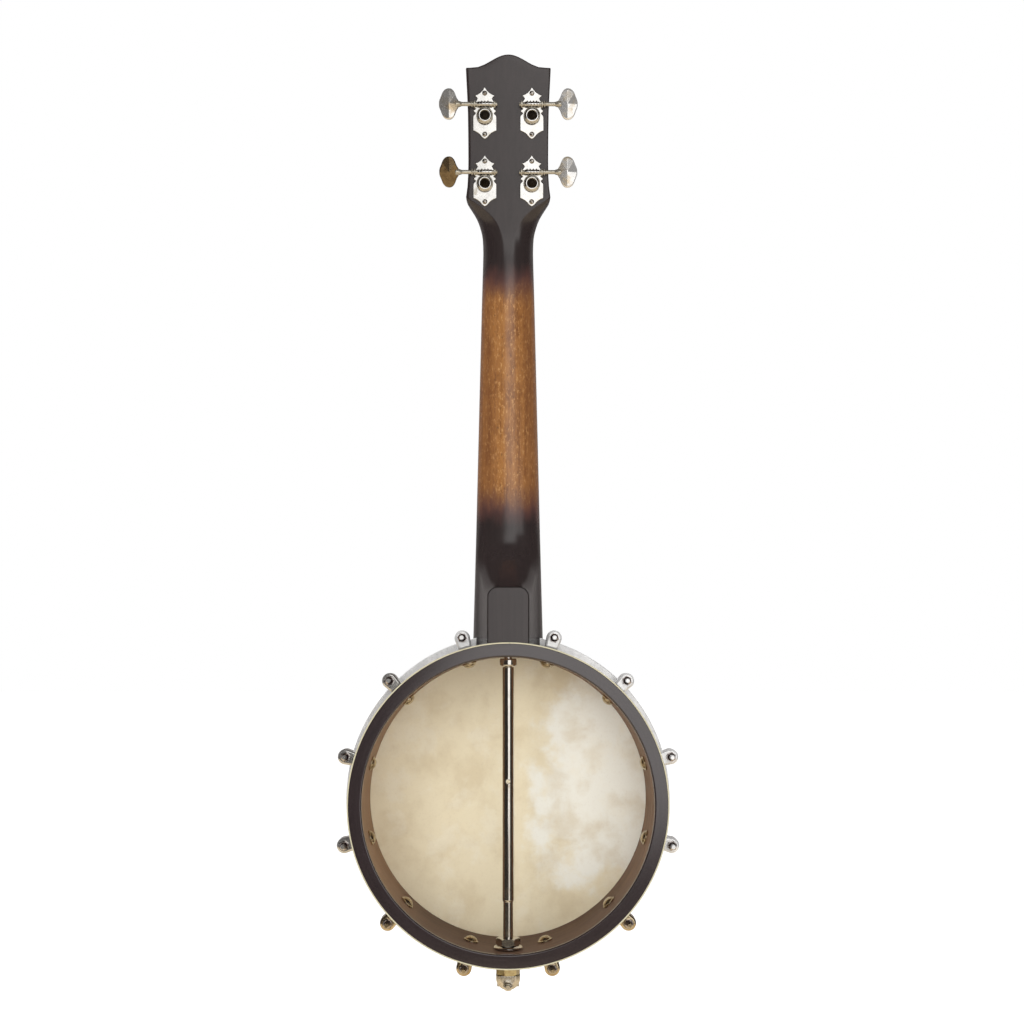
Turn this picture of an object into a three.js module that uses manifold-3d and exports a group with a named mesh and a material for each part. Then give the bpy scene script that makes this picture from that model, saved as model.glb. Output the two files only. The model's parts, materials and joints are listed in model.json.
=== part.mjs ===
// A banjo ukulele with an 8-inch pot and a tenor neck, in millimetres.
// The neck points along +Z, the skin faces +Y and the open back faces -Y.
// Everything is placed about the middle of the pot's back edge, and the whole is
// then moved so that the origin lies where a hanger's yoke holds it, under the headstock.

import * as THREE from 'three';
import { mergeVertices } from 'three/addons/utils/BufferGeometryUtils.js';
import Module from 'manifold-3d';

// Driving dimensions

const seatGap = 0.3;
const runningGap = 0.3;
const cutOverrun = 1;

const neckAngle = THREE.MathUtils.degToRad(1.67);
const headstockAngle = THREE.MathUtils.degToRad(11);

const ringSides = 48;
const roundSides = 12;
const smallRoundSides = 8;
const hexSides = 6;
const wireSides = 6;

const rim = {
  outerRadius: 101.6,
  wall: 9.3,
  depth: 63.5,
  edgeRound: 0.8,
};

const binding = {
  thickness: 1.6,
  height: 5,
};

const skin = {
  thickness: 0.4,
  tuck: 9.2,
  turnUp: 4.2,
};

const fleshHoop = {
  width: 2,
  height: 3.5,
};

const tensionHoop = {
  bandThickness: 1.5,
  bandDepth: 11.5,
  pressingFlange: 2.6,
  backLip: 2,
  backLipDepth: 1.8,
};

const hook = {
  count: 12,
  firstAngle: THREE.MathUtils.degToRad(15),
  neckPairSpread: THREE.MathUtils.degToRad(1),
  radius: 1.6,
  standOff: 1.9,
  clawReach: 4.1,
  bendRadius: 2,
  threadEnd: 14.5,
};

const hookNut = {
  acrossFlats: 5.6,
  height: 5.4,
};

const shoe = {
  boltHeight: 29.5,
  height: 12,
  boltFromBack: 5.5,
  width: 10,
  rimWidth: 8.4,
};

const shoeBolt = {
  radius: 2.1,
  washerRadius: 4.8,
  washerThickness: 0.9,
  headRadius: 3.2,
  headHeight: 2,
};

const rod = {
  fromBack: 18.5,
  radius: 3.75,
  thinRadius: 3.2,
  thinLength: 29.5,
  studRadius: 2.5,
  neckStudLength: 30,
  tailStudLength: 20,
  pinHoleRadius: 1.1,
  pinHoleHeight: 13,
};

const rodCollar = {
  width: 11,
  height: 5.2,
};

const rodNut = {
  acrossFlats: 13.5,
  height: 5,
};

const rodWasher = {
  radius: 9.5,
  thickness: 2.6,
};

const endNut = {
  acrossFlats: 13.3,
  height: 5.6,
};

const tailHanger = {
  width: 15.3,
  length: 11.6,
  depth: 12,
  boltFromEnd: 4,
};

const neck = {
  nutWidth: 34,
  potWidth: 44.8,
  nutDepth: 13.7,
  potDepth: 17.2,
  ridgeHalfWidth: 1.2,
  length: 276.4,
  nutBehindHead: 4.1,
  rootLength: 285,
  sectionSteps: 6,
};

const heel = {
  capHalfWidth: 13.3,
  rootHalfWidth: 17.4,
  capFromBack: 2,
  rimClearance: 0.3,
  hoopClearance: 0.5,
  capLength: 35.4,
  throatLength: 74,
  capCornerRadius: 9.4,
  throatCornerRadius: 16.5,
  innerEnd: 90,
  cornerSteps: 4,
};

const headstock = {
  length: 123.6,
  halfWidth: 28.6,
  thickness: 13,
  flareLength: 27,
  bumpHeight: 8.7,
  bumpHalfSpan: 24,
  bumpSteps: 12,
};

const fretboard = {
  thickness: 5,
  endPastHoop: 1.1,
};

const fret = {
  width: 2.2,
  height: 1,
  fromBoardEnd: 5,
};

const stringNut = {
  thickness: 5,
  rise: 2,
  slotWidth: 1.6,
  slotDepth: 0.9,
};

const bridge = {
  height: 12.4,
  width: 62,
  fromRim: 47.6,
  footThickness: 7.5,
  topThickness: 2.6,
  footWidth: 11,
  slotWidth: 1.6,
  slotDepth: 0.9,
};

const strings = {
  radii: [0.33, 0.46, 0.41, 0.33],
  nutSpan: 26.4,
  bridgeSpan: 41,
  tailSpan: 24,
  sides: 5,
  windingTurns: 1.5,
  stepsPerTurn: 10,
  windingPitch: 1.3,
};

const tailpiece = {
  width: 34,
  length: 29,
  thickness: 1.6,
  aboveHead: 2.6,
  legWidth: 14,
  legThickness: 2,
  hoopClearance: 2.2,
  footLength: 6.6,
  footThickness: 2.2,
  boltRadius: 1.8,
  boltPastNut: 1.6,
  lipHeight: 3.2,
  slotWidth: 2.2,
  slotLength: 5,
  slotFromLip: 2.6,
};

const tuner = {
  upperHeight: 82.9,
  lowerHeight: 38.1,
  fromMiddle: 15.9,
};

const plate = {
  halfWidth: 8,
  above: 19,
  below: 15.1,
  thickness: 1,
  earThickness: 1,
  earSpan: 12.6,
  earHalfWidth: 2.5,
  earHeight: 6.4,
};

const plateScrew = {
  radius: 1.6,
  height: 0.7,
  shankRadius: 0.8,
  shankLength: 7,
  aboveShare: 0.785,
  belowShare: 0.79,
};

const gear = {
  teeth: 16,
  pitchRadius: 5.3,
  addendum: 0.3,
  dedendum: 0.65,
  face: 2.4,
  toothShareOfPitch: 0.36,
  tipShareOfPitch: 0.22,
};

const worm = {
  pitchRadius: 2.1,
  threadRadius: 2.45,
  threadRootShareOfPitch: 0.5,
  threadTipShareOfPitch: 0.26,
  threadTurns: 2.5,
  stepsPerTurn: 8,
};

const shaft = {
  radius: 1.4,
  endPastEar: 1.2,
  collarRadius: 2.2,
  collarThickness: 1.2,
};

const button = {
  start: 17.6,
  length: 13.1,
  height: 20.9,
  thickness: 5.4,
  edgeThickness: 1.8,
  lobes: 4,
  lobeDepthShare: 0.07,
  crownShare: 0.3,
  outlineSteps: 16,
  ferruleRadius: 2.3,
};

const postCap = {
  radius: 4.8,
  height: 1.3,
  recessRadius: 3,
  recessDepth: 1,
  screwRadius: 2.2,
  screwHeight: 0.5,
};

const post = {
  radius: 3,
  aboveFace: 14,
  stringHeight: 6.4,
  holeRadius: 0.9,
};

const bushing = {
  sleeveRadius: 4.2,
  flangeRadius: 5.6,
  flangeThickness: 1.3,
  sleeveDepth: 8,
};

const yoke = {
  fromNut: 9,
  fromFront: 6,
};

// Shares that shape the outlines

// Height up the flare, half-width and flat half-width, as shares of the flare's own sizes.
const flareShares = [
  [0.07, 0.605, 0.07],
  [0.26, 0.64, 0.18],
  [0.46, 0.71, 0.33],
  [0.66, 0.8, 0.5],
  [0.86, 0.925, 0.72],
  [1, 0.975, 0.88],
];

// Height above the flare and half-width of the headstock's side.
const headstockSideShares = [
  [0.02, 0.985],
  [0.08, 0.965],
  [0.25, 0.945],
  [0.65, 0.95],
  [0.86, 0.975],
  [1, 1],
];

// Depth, growth in width and growth in length of the heel, from its cap to its throat.
const heelShares = [
  [0, -0.08, -0.012],
  [0.013, 0, 0],
  [0.1, 0.12, 0.03],
  [0.25, 0.35, 0.1],
  [0.42, 0.6, 0.2],
  [0.6, 0.82, 0.36],
  [0.76, 0.95, 0.6],
  [0.88, 1, 0.85],
  [1, 1, 1],
];

// Half outline of the tuner's plate above the post: half-width and height.
const plateUpperShares = [
  [0.73, 0.12],
  [0.86, 0.12],
  [0.7, 0.24],
  [0.62, 0.3],
  [0.62, 0.6],
  [0.83, 0.705],
  [0.3, 0.9],
];

// Half outline of the tuner's plate below the post.
const plateLowerShares = [
  [0.26, 0.86],
  [0.44, 0.74],
  [0.7, 0.66],
  [1, 0.6],
  [1, 0.13],
];

// Bridge outline: arch height and foot places.
const bridgeShares = {
  archHeightShare: 0.52,
  topWidthShare: 0.86,
  shoulderShare: 0.7,
};

const tailpieceShares = {
  shoulderShare: 0.55,
  neckShare: 0.42,
};

// Places worked out from the driving dimensions

const rimInnerRadius = rim.outerRadius - rim.wall;
const rimWallFace = rimInnerRadius * Math.cos(Math.PI / ringSides) - seatGap;
const headBack = rim.depth + seatGap;
const headFront = headBack + skin.thickness;
const collarInner = rim.outerRadius + seatGap;
const collarOuter = collarInner + skin.thickness;
const tuckBack = headBack - skin.tuck;
const fleshInner = collarOuter + seatGap;
const fleshOuter = fleshInner + fleshHoop.width;
const fleshBack = tuckBack + skin.thickness + seatGap;
const fleshFront = fleshBack + fleshHoop.height;
const turnUpInner = fleshOuter + seatGap;
const turnUpOuter = turnUpInner + skin.thickness;
const flangeBack = fleshFront + seatGap;
const hoopFront = flangeBack + tensionHoop.pressingFlange;
const hoopBack = hoopFront - tensionHoop.bandDepth;
const bandInner = turnUpOuter + seatGap;
const hoopOuter = bandInner + tensionHoop.bandThickness;
const hookRadius = hoopOuter + hook.standOff;
const shoeBack = shoe.boltHeight - shoe.boltFromBack;
const shoeFront = shoeBack + shoe.height;
const shoeSeat = rim.outerRadius + seatGap;

const endNutFace = -(rim.outerRadius + seatGap);
const endNutOuter = endNutFace - endNut.height;
const hangerFace = endNutOuter - seatGap;
const hangerEnd = hangerFace - tailHanger.length;
const tailBoltPlace = hangerEnd + tailHanger.boltFromEnd;

const nutHeight = rim.outerRadius + neck.length;
const nutTopPlace = headFront - neck.nutBehindHead;
const nutPoint = new THREE.Vector3(0, nutTopPlace, nutHeight);
const woodTop = fretboard.thickness + seatGap;
const bridgeHeight = bridge.fromRim - rim.outerRadius;
const scaleLength = nutHeight - bridgeHeight;
const gearPitch = (2 * Math.PI * gear.pitchRadius) / gear.teeth;
const gearMiddle = seatGap + plate.thickness + runningGap + worm.threadRadius;
const wormHeight = gear.pitchRadius + worm.pitchRadius;
const slabRootShares = flareShares.at(-2);
const halfHexTurn = Math.PI / hexSides;

// A place well in front of the neck, for cuts that run right through it.
const pastNeckFront = 2 * rim.depth;

// A frame on the neck: X across, Y up the neck, Z towards the back.
const neckFrame = new THREE.Matrix4()
  .makeTranslation(nutPoint)
  .multiply(new THREE.Matrix4().makeRotationX(Math.PI / 2 + neckAngle));

// The same kind of frame on the headstock's front face.
const headstockFrame = neckFrame.clone()
  .multiply(new THREE.Matrix4().makeTranslation(0, 0, woodTop))
  .multiply(new THREE.Matrix4().makeRotationX(headstockAngle));

// Materials

function material(colour, roughness, metalness) {
  return new THREE.MeshStandardMaterial({ color: colour, roughness, metalness });
}

const finishes = {
  darkWood: material(0x3a3232, 0.35, 0),
  neckWood: material(0x4a2c1f, 0.35, 0),
  ebony: material(0x201c1a, 0.45, 0),
  maple: material(0xc49a63, 0.5, 0),
  ivory: material(0xd9cda6, 0.4, 0),
  bone: material(0xe6dfc8, 0.4, 0),
  skin: material(0xc7bb98, 0.7, 0),
  nickel: material(0xc9c7c0, 0.25, 1),
  chrome: material(0xd6d6d8, 0.1, 1),
  brass: material(0xb49a5a, 0.3, 1),
  nylon: material(0xdedacb, 0.35, 0),
};

// Solids: joining, cutting and lofting

const wasm = await Module();
wasm.setup();

function toSolid(geometry) {
  const bare = geometry.clone();
  bare.deleteAttribute('normal');
  bare.deleteAttribute('uv');
  const merged = mergeVertices(bare);
  return new wasm.Manifold(new wasm.Mesh({
    numProp: 3,
    vertProperties: merged.attributes.position.array,
    triVerts: new Uint32Array(merged.index.array),
  }));
}

function toGeometry(solid) {
  const mesh = solid.getMesh();
  const geometry = new THREE.BufferGeometry();
  geometry.setAttribute('position', new THREE.BufferAttribute(mesh.vertProperties, mesh.numProp));
  geometry.setIndex(new THREE.BufferAttribute(mesh.triVerts, 1));
  return geometry;
}

function join(...pieces) {
  const solids = pieces.map(toSolid);
  return toGeometry(solids.reduce((whole, solid) => whole.add(solid)));
}

function cut(piece, ...tools) {
  const solids = tools.map(toSolid);
  return toGeometry(solids.reduce((whole, solid) => whole.subtract(solid), toSolid(piece)));
}

// Joins closed rings of points into one skin with flat ends.
function loft(rings) {
  const size = rings[0].length;
  const positions = rings.flat().flatMap((point) => point.toArray());
  const faces = [];
  for (let ring = 0; ring < rings.length - 1; ring += 1) {
    for (let side = 0; side < size; side += 1) {
      const near = ring * size + side;
      const next = ring * size + (side + 1) % size;
      faces.push(near, next, next + size);
      faces.push(near, next + size, near + size);
    }
  }
  const last = (rings.length - 1) * size;
  for (let side = 1; side < size - 1; side += 1) {
    faces.push(0, side + 1, side);
    faces.push(last, last + side, last + side + 1);
  }
  const geometry = new THREE.BufferGeometry();
  geometry.setAttribute('position', new THREE.Float32BufferAttribute(positions, 3));
  geometry.setIndex(faces);
  return geometry;
}

// A ring about the pot's axis from a closed profile of radius and depth.
function turnedRing(corners) {
  const profile = corners.map(([radius, depth]) => new THREE.Vector2(radius, depth));
  profile.push(profile[0].clone());
  return new THREE.LatheGeometry(profile, ringSides);
}

// A round bar along Y from one place to another.
function barAlongY(radius, from, to, sides = roundSides) {
  const bar = new THREE.CylinderGeometry(radius, radius, to - from, sides);
  return bar.translate(0, (from + to) / 2, 0);
}

function barAlongZ(radius, from, to, sides = roundSides) {
  return barAlongY(radius, from, to, sides).rotateX(Math.PI / 2);
}

function barAlongX(radius, from, to, sides = roundSides) {
  return barAlongY(radius, from, to, sides).rotateZ(-Math.PI / 2);
}

function block(width, depth, height) {
  return new THREE.BoxGeometry(width, depth, height);
}

// A hexagon's corner radius from its width across flats.
function cornerRadius(acrossFlats) {
  return acrossFlats / 2 / Math.cos(Math.PI / hexSides);
}

function shapeFrom(points) {
  return new THREE.Shape(points.map(([x, y]) => new THREE.Vector2(x, y)));
}

function thicken(shape, thickness) {
  return new THREE.ExtrudeGeometry(shape, { depth: thickness, bevelEnabled: false, steps: 1 });
}

// A route of straight stretches that gives one step to each of its points.
class Route extends THREE.Curve {
  constructor(points) {
    super();
    this.points = points;
  }

  getPoint(share, target = new THREE.Vector3()) {
    const place = share * (this.points.length - 1);
    const index = Math.min(Math.floor(place), this.points.length - 2);
    return target.lerpVectors(this.points[index], this.points[index + 1], place - index);
  }

  getUtoTmapping(share) {
    return share;
  }
}

function wireAlong(points, radius, sides) {
  const section = Array.from({ length: sides }, (_, side) => {
    const turn = (side / sides) * 2 * Math.PI;
    return [radius * Math.cos(turn), radius * Math.sin(turn)];
  });
  return new THREE.ExtrudeGeometry(shapeFrom(section), {
    extrudePath: new Route(points),
    steps: points.length - 1,
    bevelEnabled: false,
  });
}

// The model tree

const instrument = new THREE.Group();
const pot = new THREE.Group();
instrument.add(pot);

function addPiece(parent, name, geometry, finish) {
  const mesh = new THREE.Mesh(geometry, finish);
  mesh.name = name;
  parent.add(mesh);
  return mesh;
}

function clockAngles() {
  return Array.from({ length: hook.count }, (_, index) => {
    const even = hook.firstAngle + (index * 2 * Math.PI) / hook.count;
    if (index === 0) {
      return even + hook.neckPairSpread;
    }
    if (index === hook.count - 1) {
      return even - hook.neckPairSpread;
    }
    return even;
  });
}

// The pot

function rimGeometry() {
  const outer = rim.outerRadius;
  const bindingSeat = outer - binding.thickness - seatGap;
  const wall = turnedRing([
    [bindingSeat, 0],
    [bindingSeat, binding.height + seatGap],
    [outer, binding.height + seatGap],
    [outer, rim.depth - rim.edgeRound],
    [outer - rim.edgeRound, rim.depth],
    [rimInnerRadius, rim.depth],
    [rimInnerRadius, 0],
  ]);
  const drillFrom = rimInnerRadius - cutOverrun;
  const drillTo = outer + cutOverrun;
  const boltHoles = clockAngles().map((angle) => {
    const hole = barAlongZ(shoeBolt.radius + seatGap, drillFrom, drillTo, smallRoundSides);
    return hole.translate(0, shoe.boltHeight, 0).rotateY(angle);
  });
  const studHole = barAlongZ(rod.studRadius + seatGap, drillFrom, drillTo);
  studHole.translate(0, rod.fromBack, 0);
  const tailHole = studHole.clone().rotateY(Math.PI);
  return cut(wall, ...boltHoles, studHole, tailHole);
}

function bindingGeometry() {
  const inner = rim.outerRadius - binding.thickness;
  return turnedRing([
    [rim.outerRadius, 0],
    [rim.outerRadius, binding.height],
    [inner, binding.height],
    [inner, 0],
  ]);
}

function skinGeometry() {
  const profile = [
    [0, headBack],
    [collarInner, headBack],
    [collarInner, tuckBack],
    [turnUpOuter, tuckBack],
    [turnUpOuter, tuckBack + skin.turnUp],
    [turnUpInner, tuckBack + skin.turnUp],
    [turnUpInner, tuckBack + skin.thickness],
    [collarOuter, tuckBack + skin.thickness],
    [collarOuter, headFront],
    [0, headFront],
  ];
  const points = profile.map(([radius, depth]) => new THREE.Vector2(radius, depth));
  return new THREE.LatheGeometry(points, ringSides);
}

function fleshHoopGeometry() {
  return turnedRing([
    [fleshOuter, fleshBack],
    [fleshOuter, fleshFront],
    [fleshInner, fleshFront],
    [fleshInner, fleshBack],
  ]);
}

function tensionHoopGeometry() {
  const lipFront = hoopBack + tensionHoop.backLipDepth;
  return turnedRing([
    [hoopOuter, hoopBack],
    [hoopOuter, hoopFront],
    [fleshInner, hoopFront],
    [fleshInner, flangeBack],
    [bandInner, flangeBack],
    [bandInner, lipFront],
    [bandInner - tensionHoop.backLip, lipFront],
    [bandInner - tensionHoop.backLip, hoopBack],
  ]);
}

// How far a flat washer stands off the hollow wall that its edge rests on.
function washerSag(washerRadius) {
  return rimInnerRadius - Math.sqrt(rimInnerRadius ** 2 - washerRadius ** 2);
}

// A shoe at twelve o'clock, with the bolt that holds it to the rim.
function shoeGeometry() {
  const halfWidth = shoe.width / 2;
  const outline = new THREE.Shape();
  outline.moveTo(-shoe.rimWidth / 2, shoeSeat);
  outline.lineTo(shoe.rimWidth / 2, shoeSeat);
  outline.lineTo(halfWidth, hookRadius);
  outline.absarc(0, hookRadius, halfWidth, 0, Math.PI);
  const body = new THREE.ExtrudeGeometry(outline, {
    depth: shoe.height,
    bevelEnabled: false,
    curveSegments: smallRoundSides / 2,
  });
  body.rotateX(Math.PI / 2).translate(0, shoeFront, 0);
  const boreRadius = hook.radius + runningGap;
  const bore = barAlongY(boreRadius, shoeBack - cutOverrun, shoeFront + cutOverrun, smallRoundSides);
  bore.translate(0, 0, hookRadius);
  const washerFace = rimWallFace - washerSag(shoeBolt.washerRadius);
  const washerInner = washerFace - shoeBolt.washerThickness;
  const shank = barAlongZ(shoeBolt.radius, washerInner, shoeSeat + shoe.width / 4, smallRoundSides);
  const washer = barAlongZ(shoeBolt.washerRadius, washerInner, washerFace, smallRoundSides);
  const headEnd = washerInner - shoeBolt.headHeight;
  const head = barAlongZ(shoeBolt.headRadius, headEnd, washerInner, smallRoundSides);
  [shank, washer, head].forEach((piece) => piece.translate(0, shoe.boltHeight, 0));
  return join(cut(body, bore), join(shank, washer, head));
}

// A hook at twelve o'clock: a straight shank, a claw over the hoop, and its nut.
function hookGeometry() {
  const clawHeight = hoopFront + seatGap + hook.radius;
  const bend = hook.bendRadius;
  const slant = bend * Math.cos(Math.PI / 4);
  const route = [
    [hookRadius, hook.threadEnd],
    [hookRadius, clawHeight - bend],
    [hookRadius - bend + slant, clawHeight - bend + slant],
    [hookRadius - bend, clawHeight],
    [hookRadius - hook.clawReach, clawHeight],
  ];
  const points = route.map(([radius, depth]) => new THREE.Vector3(0, depth, radius));
  const wire = wireAlong(points, hook.radius, wireSides);
  const nutFrontFace = shoeBack - seatGap;
  const nutBackFace = nutFrontFace - hookNut.height;
  const nut = barAlongY(cornerRadius(hookNut.acrossFlats), nutBackFace, nutFrontFace, hexSides);
  nut.translate(0, 0, hookRadius);
  return join(wire, nut);
}

function addPot() {
  addPiece(pot, 'rim', rimGeometry(), finishes.darkWood);
  addPiece(pot, 'rim_binding', bindingGeometry(), finishes.ivory);
  addPiece(pot, 'drum_head', skinGeometry(), finishes.skin);
  addPiece(pot, 'flesh_hoop', fleshHoopGeometry(), finishes.brass);
  addPiece(pot, 'tension_hoop', tensionHoopGeometry(), finishes.nickel);
  const shoeShape = shoeGeometry();
  const hookShape = hookGeometry();
  clockAngles().forEach((angle, index) => {
    const number = String(index + 1).padStart(2, '0');
    addPiece(pot, `bracket_shoe_${number}`, shoeShape, finishes.nickel).rotation.y = angle;
    addPiece(pot, `tension_hook_${number}`, hookShape, finishes.nickel).rotation.y = angle;
  });
}

// The coordinator rod and its fittings

function rodGeometry() {
  const collarBack = rimWallFace - seatGap - rodCollar.height;
  const thinTop = rod.thinLength - rimWallFace;
  const thick = barAlongZ(rod.radius, thinTop, collarBack - seatGap);
  const thin = barAlongZ(rod.thinRadius, -rimWallFace, thinTop + rod.radius);
  const studFrom = -rimWallFace - rod.tailStudLength;
  const studTo = rimWallFace + rod.neckStudLength;
  const stud = barAlongZ(rod.studRadius, studFrom, studTo);
  const drill = rod.radius + cutOverrun;
  const pinHole = barAlongY(rod.pinHoleRadius, -drill, drill, smallRoundSides);
  pinHole.translate(0, 0, rod.pinHoleHeight);
  return cut(join(thick, thin, stud), pinHole).translate(0, rod.fromBack, 0);
}

function rodCollarGeometry() {
  const front = rimWallFace - seatGap;
  const outside = barAlongZ(rodCollar.width / 2, front - rodCollar.height, front);
  const bore = barAlongZ(rod.studRadius + seatGap, 0, front + cutOverrun);
  return cut(outside, bore).translate(0, rod.fromBack, 0);
}

// Height of the washer's face against the hollow wall at the tail.
function tailWasherFace() {
  return washerSag(rodWasher.radius) - rimWallFace;
}

function rodWasherGeometry() {
  const face = tailWasherFace();
  const outside = barAlongZ(rodWasher.radius, face, face + rodWasher.thickness);
  const boreEnd = face + rodWasher.thickness + cutOverrun;
  const bore = barAlongZ(rod.thinRadius + seatGap, face - cutOverrun, boreEnd);
  return cut(outside, bore).translate(0, rod.fromBack, 0);
}

function rodNutGeometry() {
  const from = tailWasherFace() + rodWasher.thickness + seatGap;
  const to = from + rodNut.height;
  const outside = barAlongZ(cornerRadius(rodNut.acrossFlats), from, to, hexSides).rotateZ(halfHexTurn);
  const bore = barAlongZ(rod.thinRadius + seatGap, from - cutOverrun, to + cutOverrun);
  return cut(outside, bore).translate(0, rod.fromBack, 0);
}

function endNutGeometry() {
  const corner = cornerRadius(endNut.acrossFlats);
  const outside = barAlongZ(corner, endNutOuter, endNutFace, hexSides).rotateZ(halfHexTurn);
  const boreRadius = rod.studRadius + seatGap;
  const bore = barAlongZ(boreRadius, endNutOuter - cutOverrun, endNutFace + cutOverrun);
  return cut(outside, bore).translate(0, rod.fromBack, 0);
}

// The lug on the end of the stud that the tailpiece's bolt pulls against.
function tailHangerGeometry() {
  const half = tailHanger.width / 2;
  const outline = new THREE.Shape();
  outline.moveTo(half, hangerFace);
  outline.lineTo(-half, hangerFace);
  outline.lineTo(-half, hangerEnd + half);
  outline.absarc(0, hangerEnd + half, half, Math.PI, 2 * Math.PI);
  const body = new THREE.ExtrudeGeometry(outline, {
    depth: tailHanger.depth,
    bevelEnabled: false,
    curveSegments: roundSides / 2,
  });
  body.rotateX(Math.PI / 2).translate(0, rod.fromBack + tailHanger.depth / 2, 0);
  const pocketEnd = -rim.outerRadius - rod.tailStudLength;
  const pocket = barAlongZ(rod.studRadius + seatGap, pocketEnd, hangerFace + cutOverrun);
  pocket.translate(0, rod.fromBack, 0);
  const bore = barAlongY(
    tailpiece.boltRadius + seatGap,
    rod.fromBack - tailHanger.depth,
    rod.fromBack + tailHanger.depth,
    smallRoundSides,
  );
  bore.translate(0, 0, tailBoltPlace);
  return cut(body, pocket, bore);
}

// The tailpiece

function tailpieceGeometry() {
  const half = tailpiece.width / 2;
  const shoulder = half * tailpieceShares.shoulderShare;
  const neckHalf = half * tailpieceShares.neckShare;
  const legInner = -(hoopOuter + tailpiece.hoopClearance);
  const legOuter = legInner - tailpiece.legThickness;
  const plateFront = headFront + tailpiece.aboveHead + tailpiece.thickness;
  const top = legOuter + tailpiece.length;
  const plateShape = shapeFrom([
    [neckHalf, legOuter],
    [neckHalf, legInner],
    [half, top - shoulder],
    [half, top],
    [-half, top],
    [-half, top - shoulder],
    [-neckHalf, legInner],
    [-neckHalf, legOuter],
  ]);
  const plateBody = thicken(plateShape, tailpiece.thickness).rotateX(Math.PI / 2);
  plateBody.translate(0, plateFront, 0);
  const footBack = rod.fromBack + tailHanger.depth / 2 + seatGap;
  const leg = block(tailpiece.legWidth, plateFront - footBack, tailpiece.legThickness);
  leg.translate(0, (plateFront + footBack) / 2, (legInner + legOuter) / 2);
  const foot = block(tailpiece.legWidth, tailpiece.footThickness, tailpiece.footLength);
  foot.translate(0, footBack + tailpiece.footThickness / 2, legInner - tailpiece.footLength / 2);
  const lip = block(tailpiece.width, tailpiece.lipHeight, tailpiece.thickness);
  const lipMiddle = plateFront + (tailpiece.lipHeight - tailpiece.thickness) / 2;
  lip.translate(0, lipMiddle, top - tailpiece.thickness / 2);
  const nutFront = rod.fromBack - tailHanger.depth / 2 - seatGap;
  const nutBack = nutFront - hookNut.height;
  const bolt = barAlongY(
    tailpiece.boltRadius,
    nutBack - tailpiece.boltPastNut,
    footBack + tailpiece.footThickness / 2,
    smallRoundSides,
  );
  bolt.translate(0, 0, tailBoltPlace);
  const nut = barAlongY(cornerRadius(hookNut.acrossFlats), nutBack, nutFront, hexSides);
  nut.translate(0, 0, tailBoltPlace);
  const slotPlace = top - tailpiece.slotFromLip - tailpiece.slotLength / 2;
  const slots = stringPlaces(strings.tailSpan).map((across) => {
    const slot = block(tailpiece.slotWidth, plateFront, tailpiece.slotLength);
    return slot.translate(across, plateFront, slotPlace);
  });
  return cut(join(plateBody, leg, foot, lip, bolt, nut), ...slots);
}

function addFittings() {
  addPiece(pot, 'coordinator_rod', rodGeometry(), finishes.chrome);
  addPiece(pot, 'rod_collar', rodCollarGeometry(), finishes.chrome);
  addPiece(pot, 'rod_nut', rodNutGeometry(), finishes.chrome);
  addPiece(pot, 'rod_washer', rodWasherGeometry(), finishes.chrome);
  addPiece(pot, 'end_nut', endNutGeometry(), finishes.brass);
  addPiece(pot, 'tailpiece_hanger', tailHangerGeometry(), finishes.nickel);
  addPiece(pot, 'tailpiece', tailpieceGeometry(), finishes.nickel);
}

// The neck

function neckHalfWidth(along) {
  const share = along / neck.length;
  return THREE.MathUtils.lerp(neck.nutWidth, neck.potWidth, share) / 2;
}

// One cross-section: flat in front, rounded at the sides, with a flat strip at the back.
function neckRing(frame, along, halfWidth, front, depth, flatHalfWidth) {
  const ring = [];
  for (let step = 0; step <= neck.sectionSteps; step += 1) {
    const turn = (step / neck.sectionSteps) * (Math.PI / 2);
    const across = flatHalfWidth + (halfWidth - flatHalfWidth) * Math.cos(turn);
    ring.push(new THREE.Vector3(-across, along, front + depth * Math.sin(turn)));
  }
  const mirrored = ring.map((point) => new THREE.Vector3(-point.x, point.y, point.z)).reverse();
  return [...ring, ...mirrored].map((point) => point.applyMatrix4(frame));
}

function neckShaftGeometry() {
  const rings = [neck.rootLength, 0].map((down) => {
    const depth = THREE.MathUtils.lerp(neck.nutDepth, neck.potDepth, down / neck.rootLength);
    return neckRing(neckFrame, -down, neckHalfWidth(down), woodTop, depth, neck.ridgeHalfWidth);
  });
  flareShares.forEach(([heightShare, widthShare, flatShare]) => {
    rings.push(neckRing(
      headstockFrame,
      heightShare * headstock.flareLength,
      widthShare * headstock.halfWidth,
      0,
      headstock.thickness,
      flatShare * headstock.halfWidth,
    ));
  });
  return loft(rings);
}

function headstockSlabGeometry() {
  const sideLength = headstock.length - headstock.bumpHeight - headstock.flareLength;
  const right = headstockSideShares.map(([heightShare, widthShare]) => [
    widthShare * headstock.halfWidth,
    headstock.flareLength + heightShare * sideLength,
  ]);
  const shoulderHeight = headstock.length - headstock.bumpHeight;
  const bump = [];
  for (let step = 0; step <= headstock.bumpSteps; step += 1) {
    const across = headstock.bumpHalfSpan * (1 - (2 * step) / headstock.bumpSteps);
    const rise = (1 + Math.cos((Math.PI * across) / headstock.bumpHalfSpan)) / 2;
    bump.push([across, shoulderHeight + rise * headstock.bumpHeight]);
  }
  const left = right.map(([across, height]) => [-across, height]).reverse();
  const [rootHeightShare, rootWidthShare] = slabRootShares;
  const rootHalfWidth = rootWidthShare * headstock.halfWidth;
  const rootHeight = rootHeightShare * headstock.flareLength;
  const root = [
    [-rootHalfWidth, rootHeight],
    [rootHalfWidth, rootHeight],
  ];
  return thicken(shapeFrom([...root, ...right, ...bump, ...left]), headstock.thickness)
    .applyMatrix4(headstockFrame);
}

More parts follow.
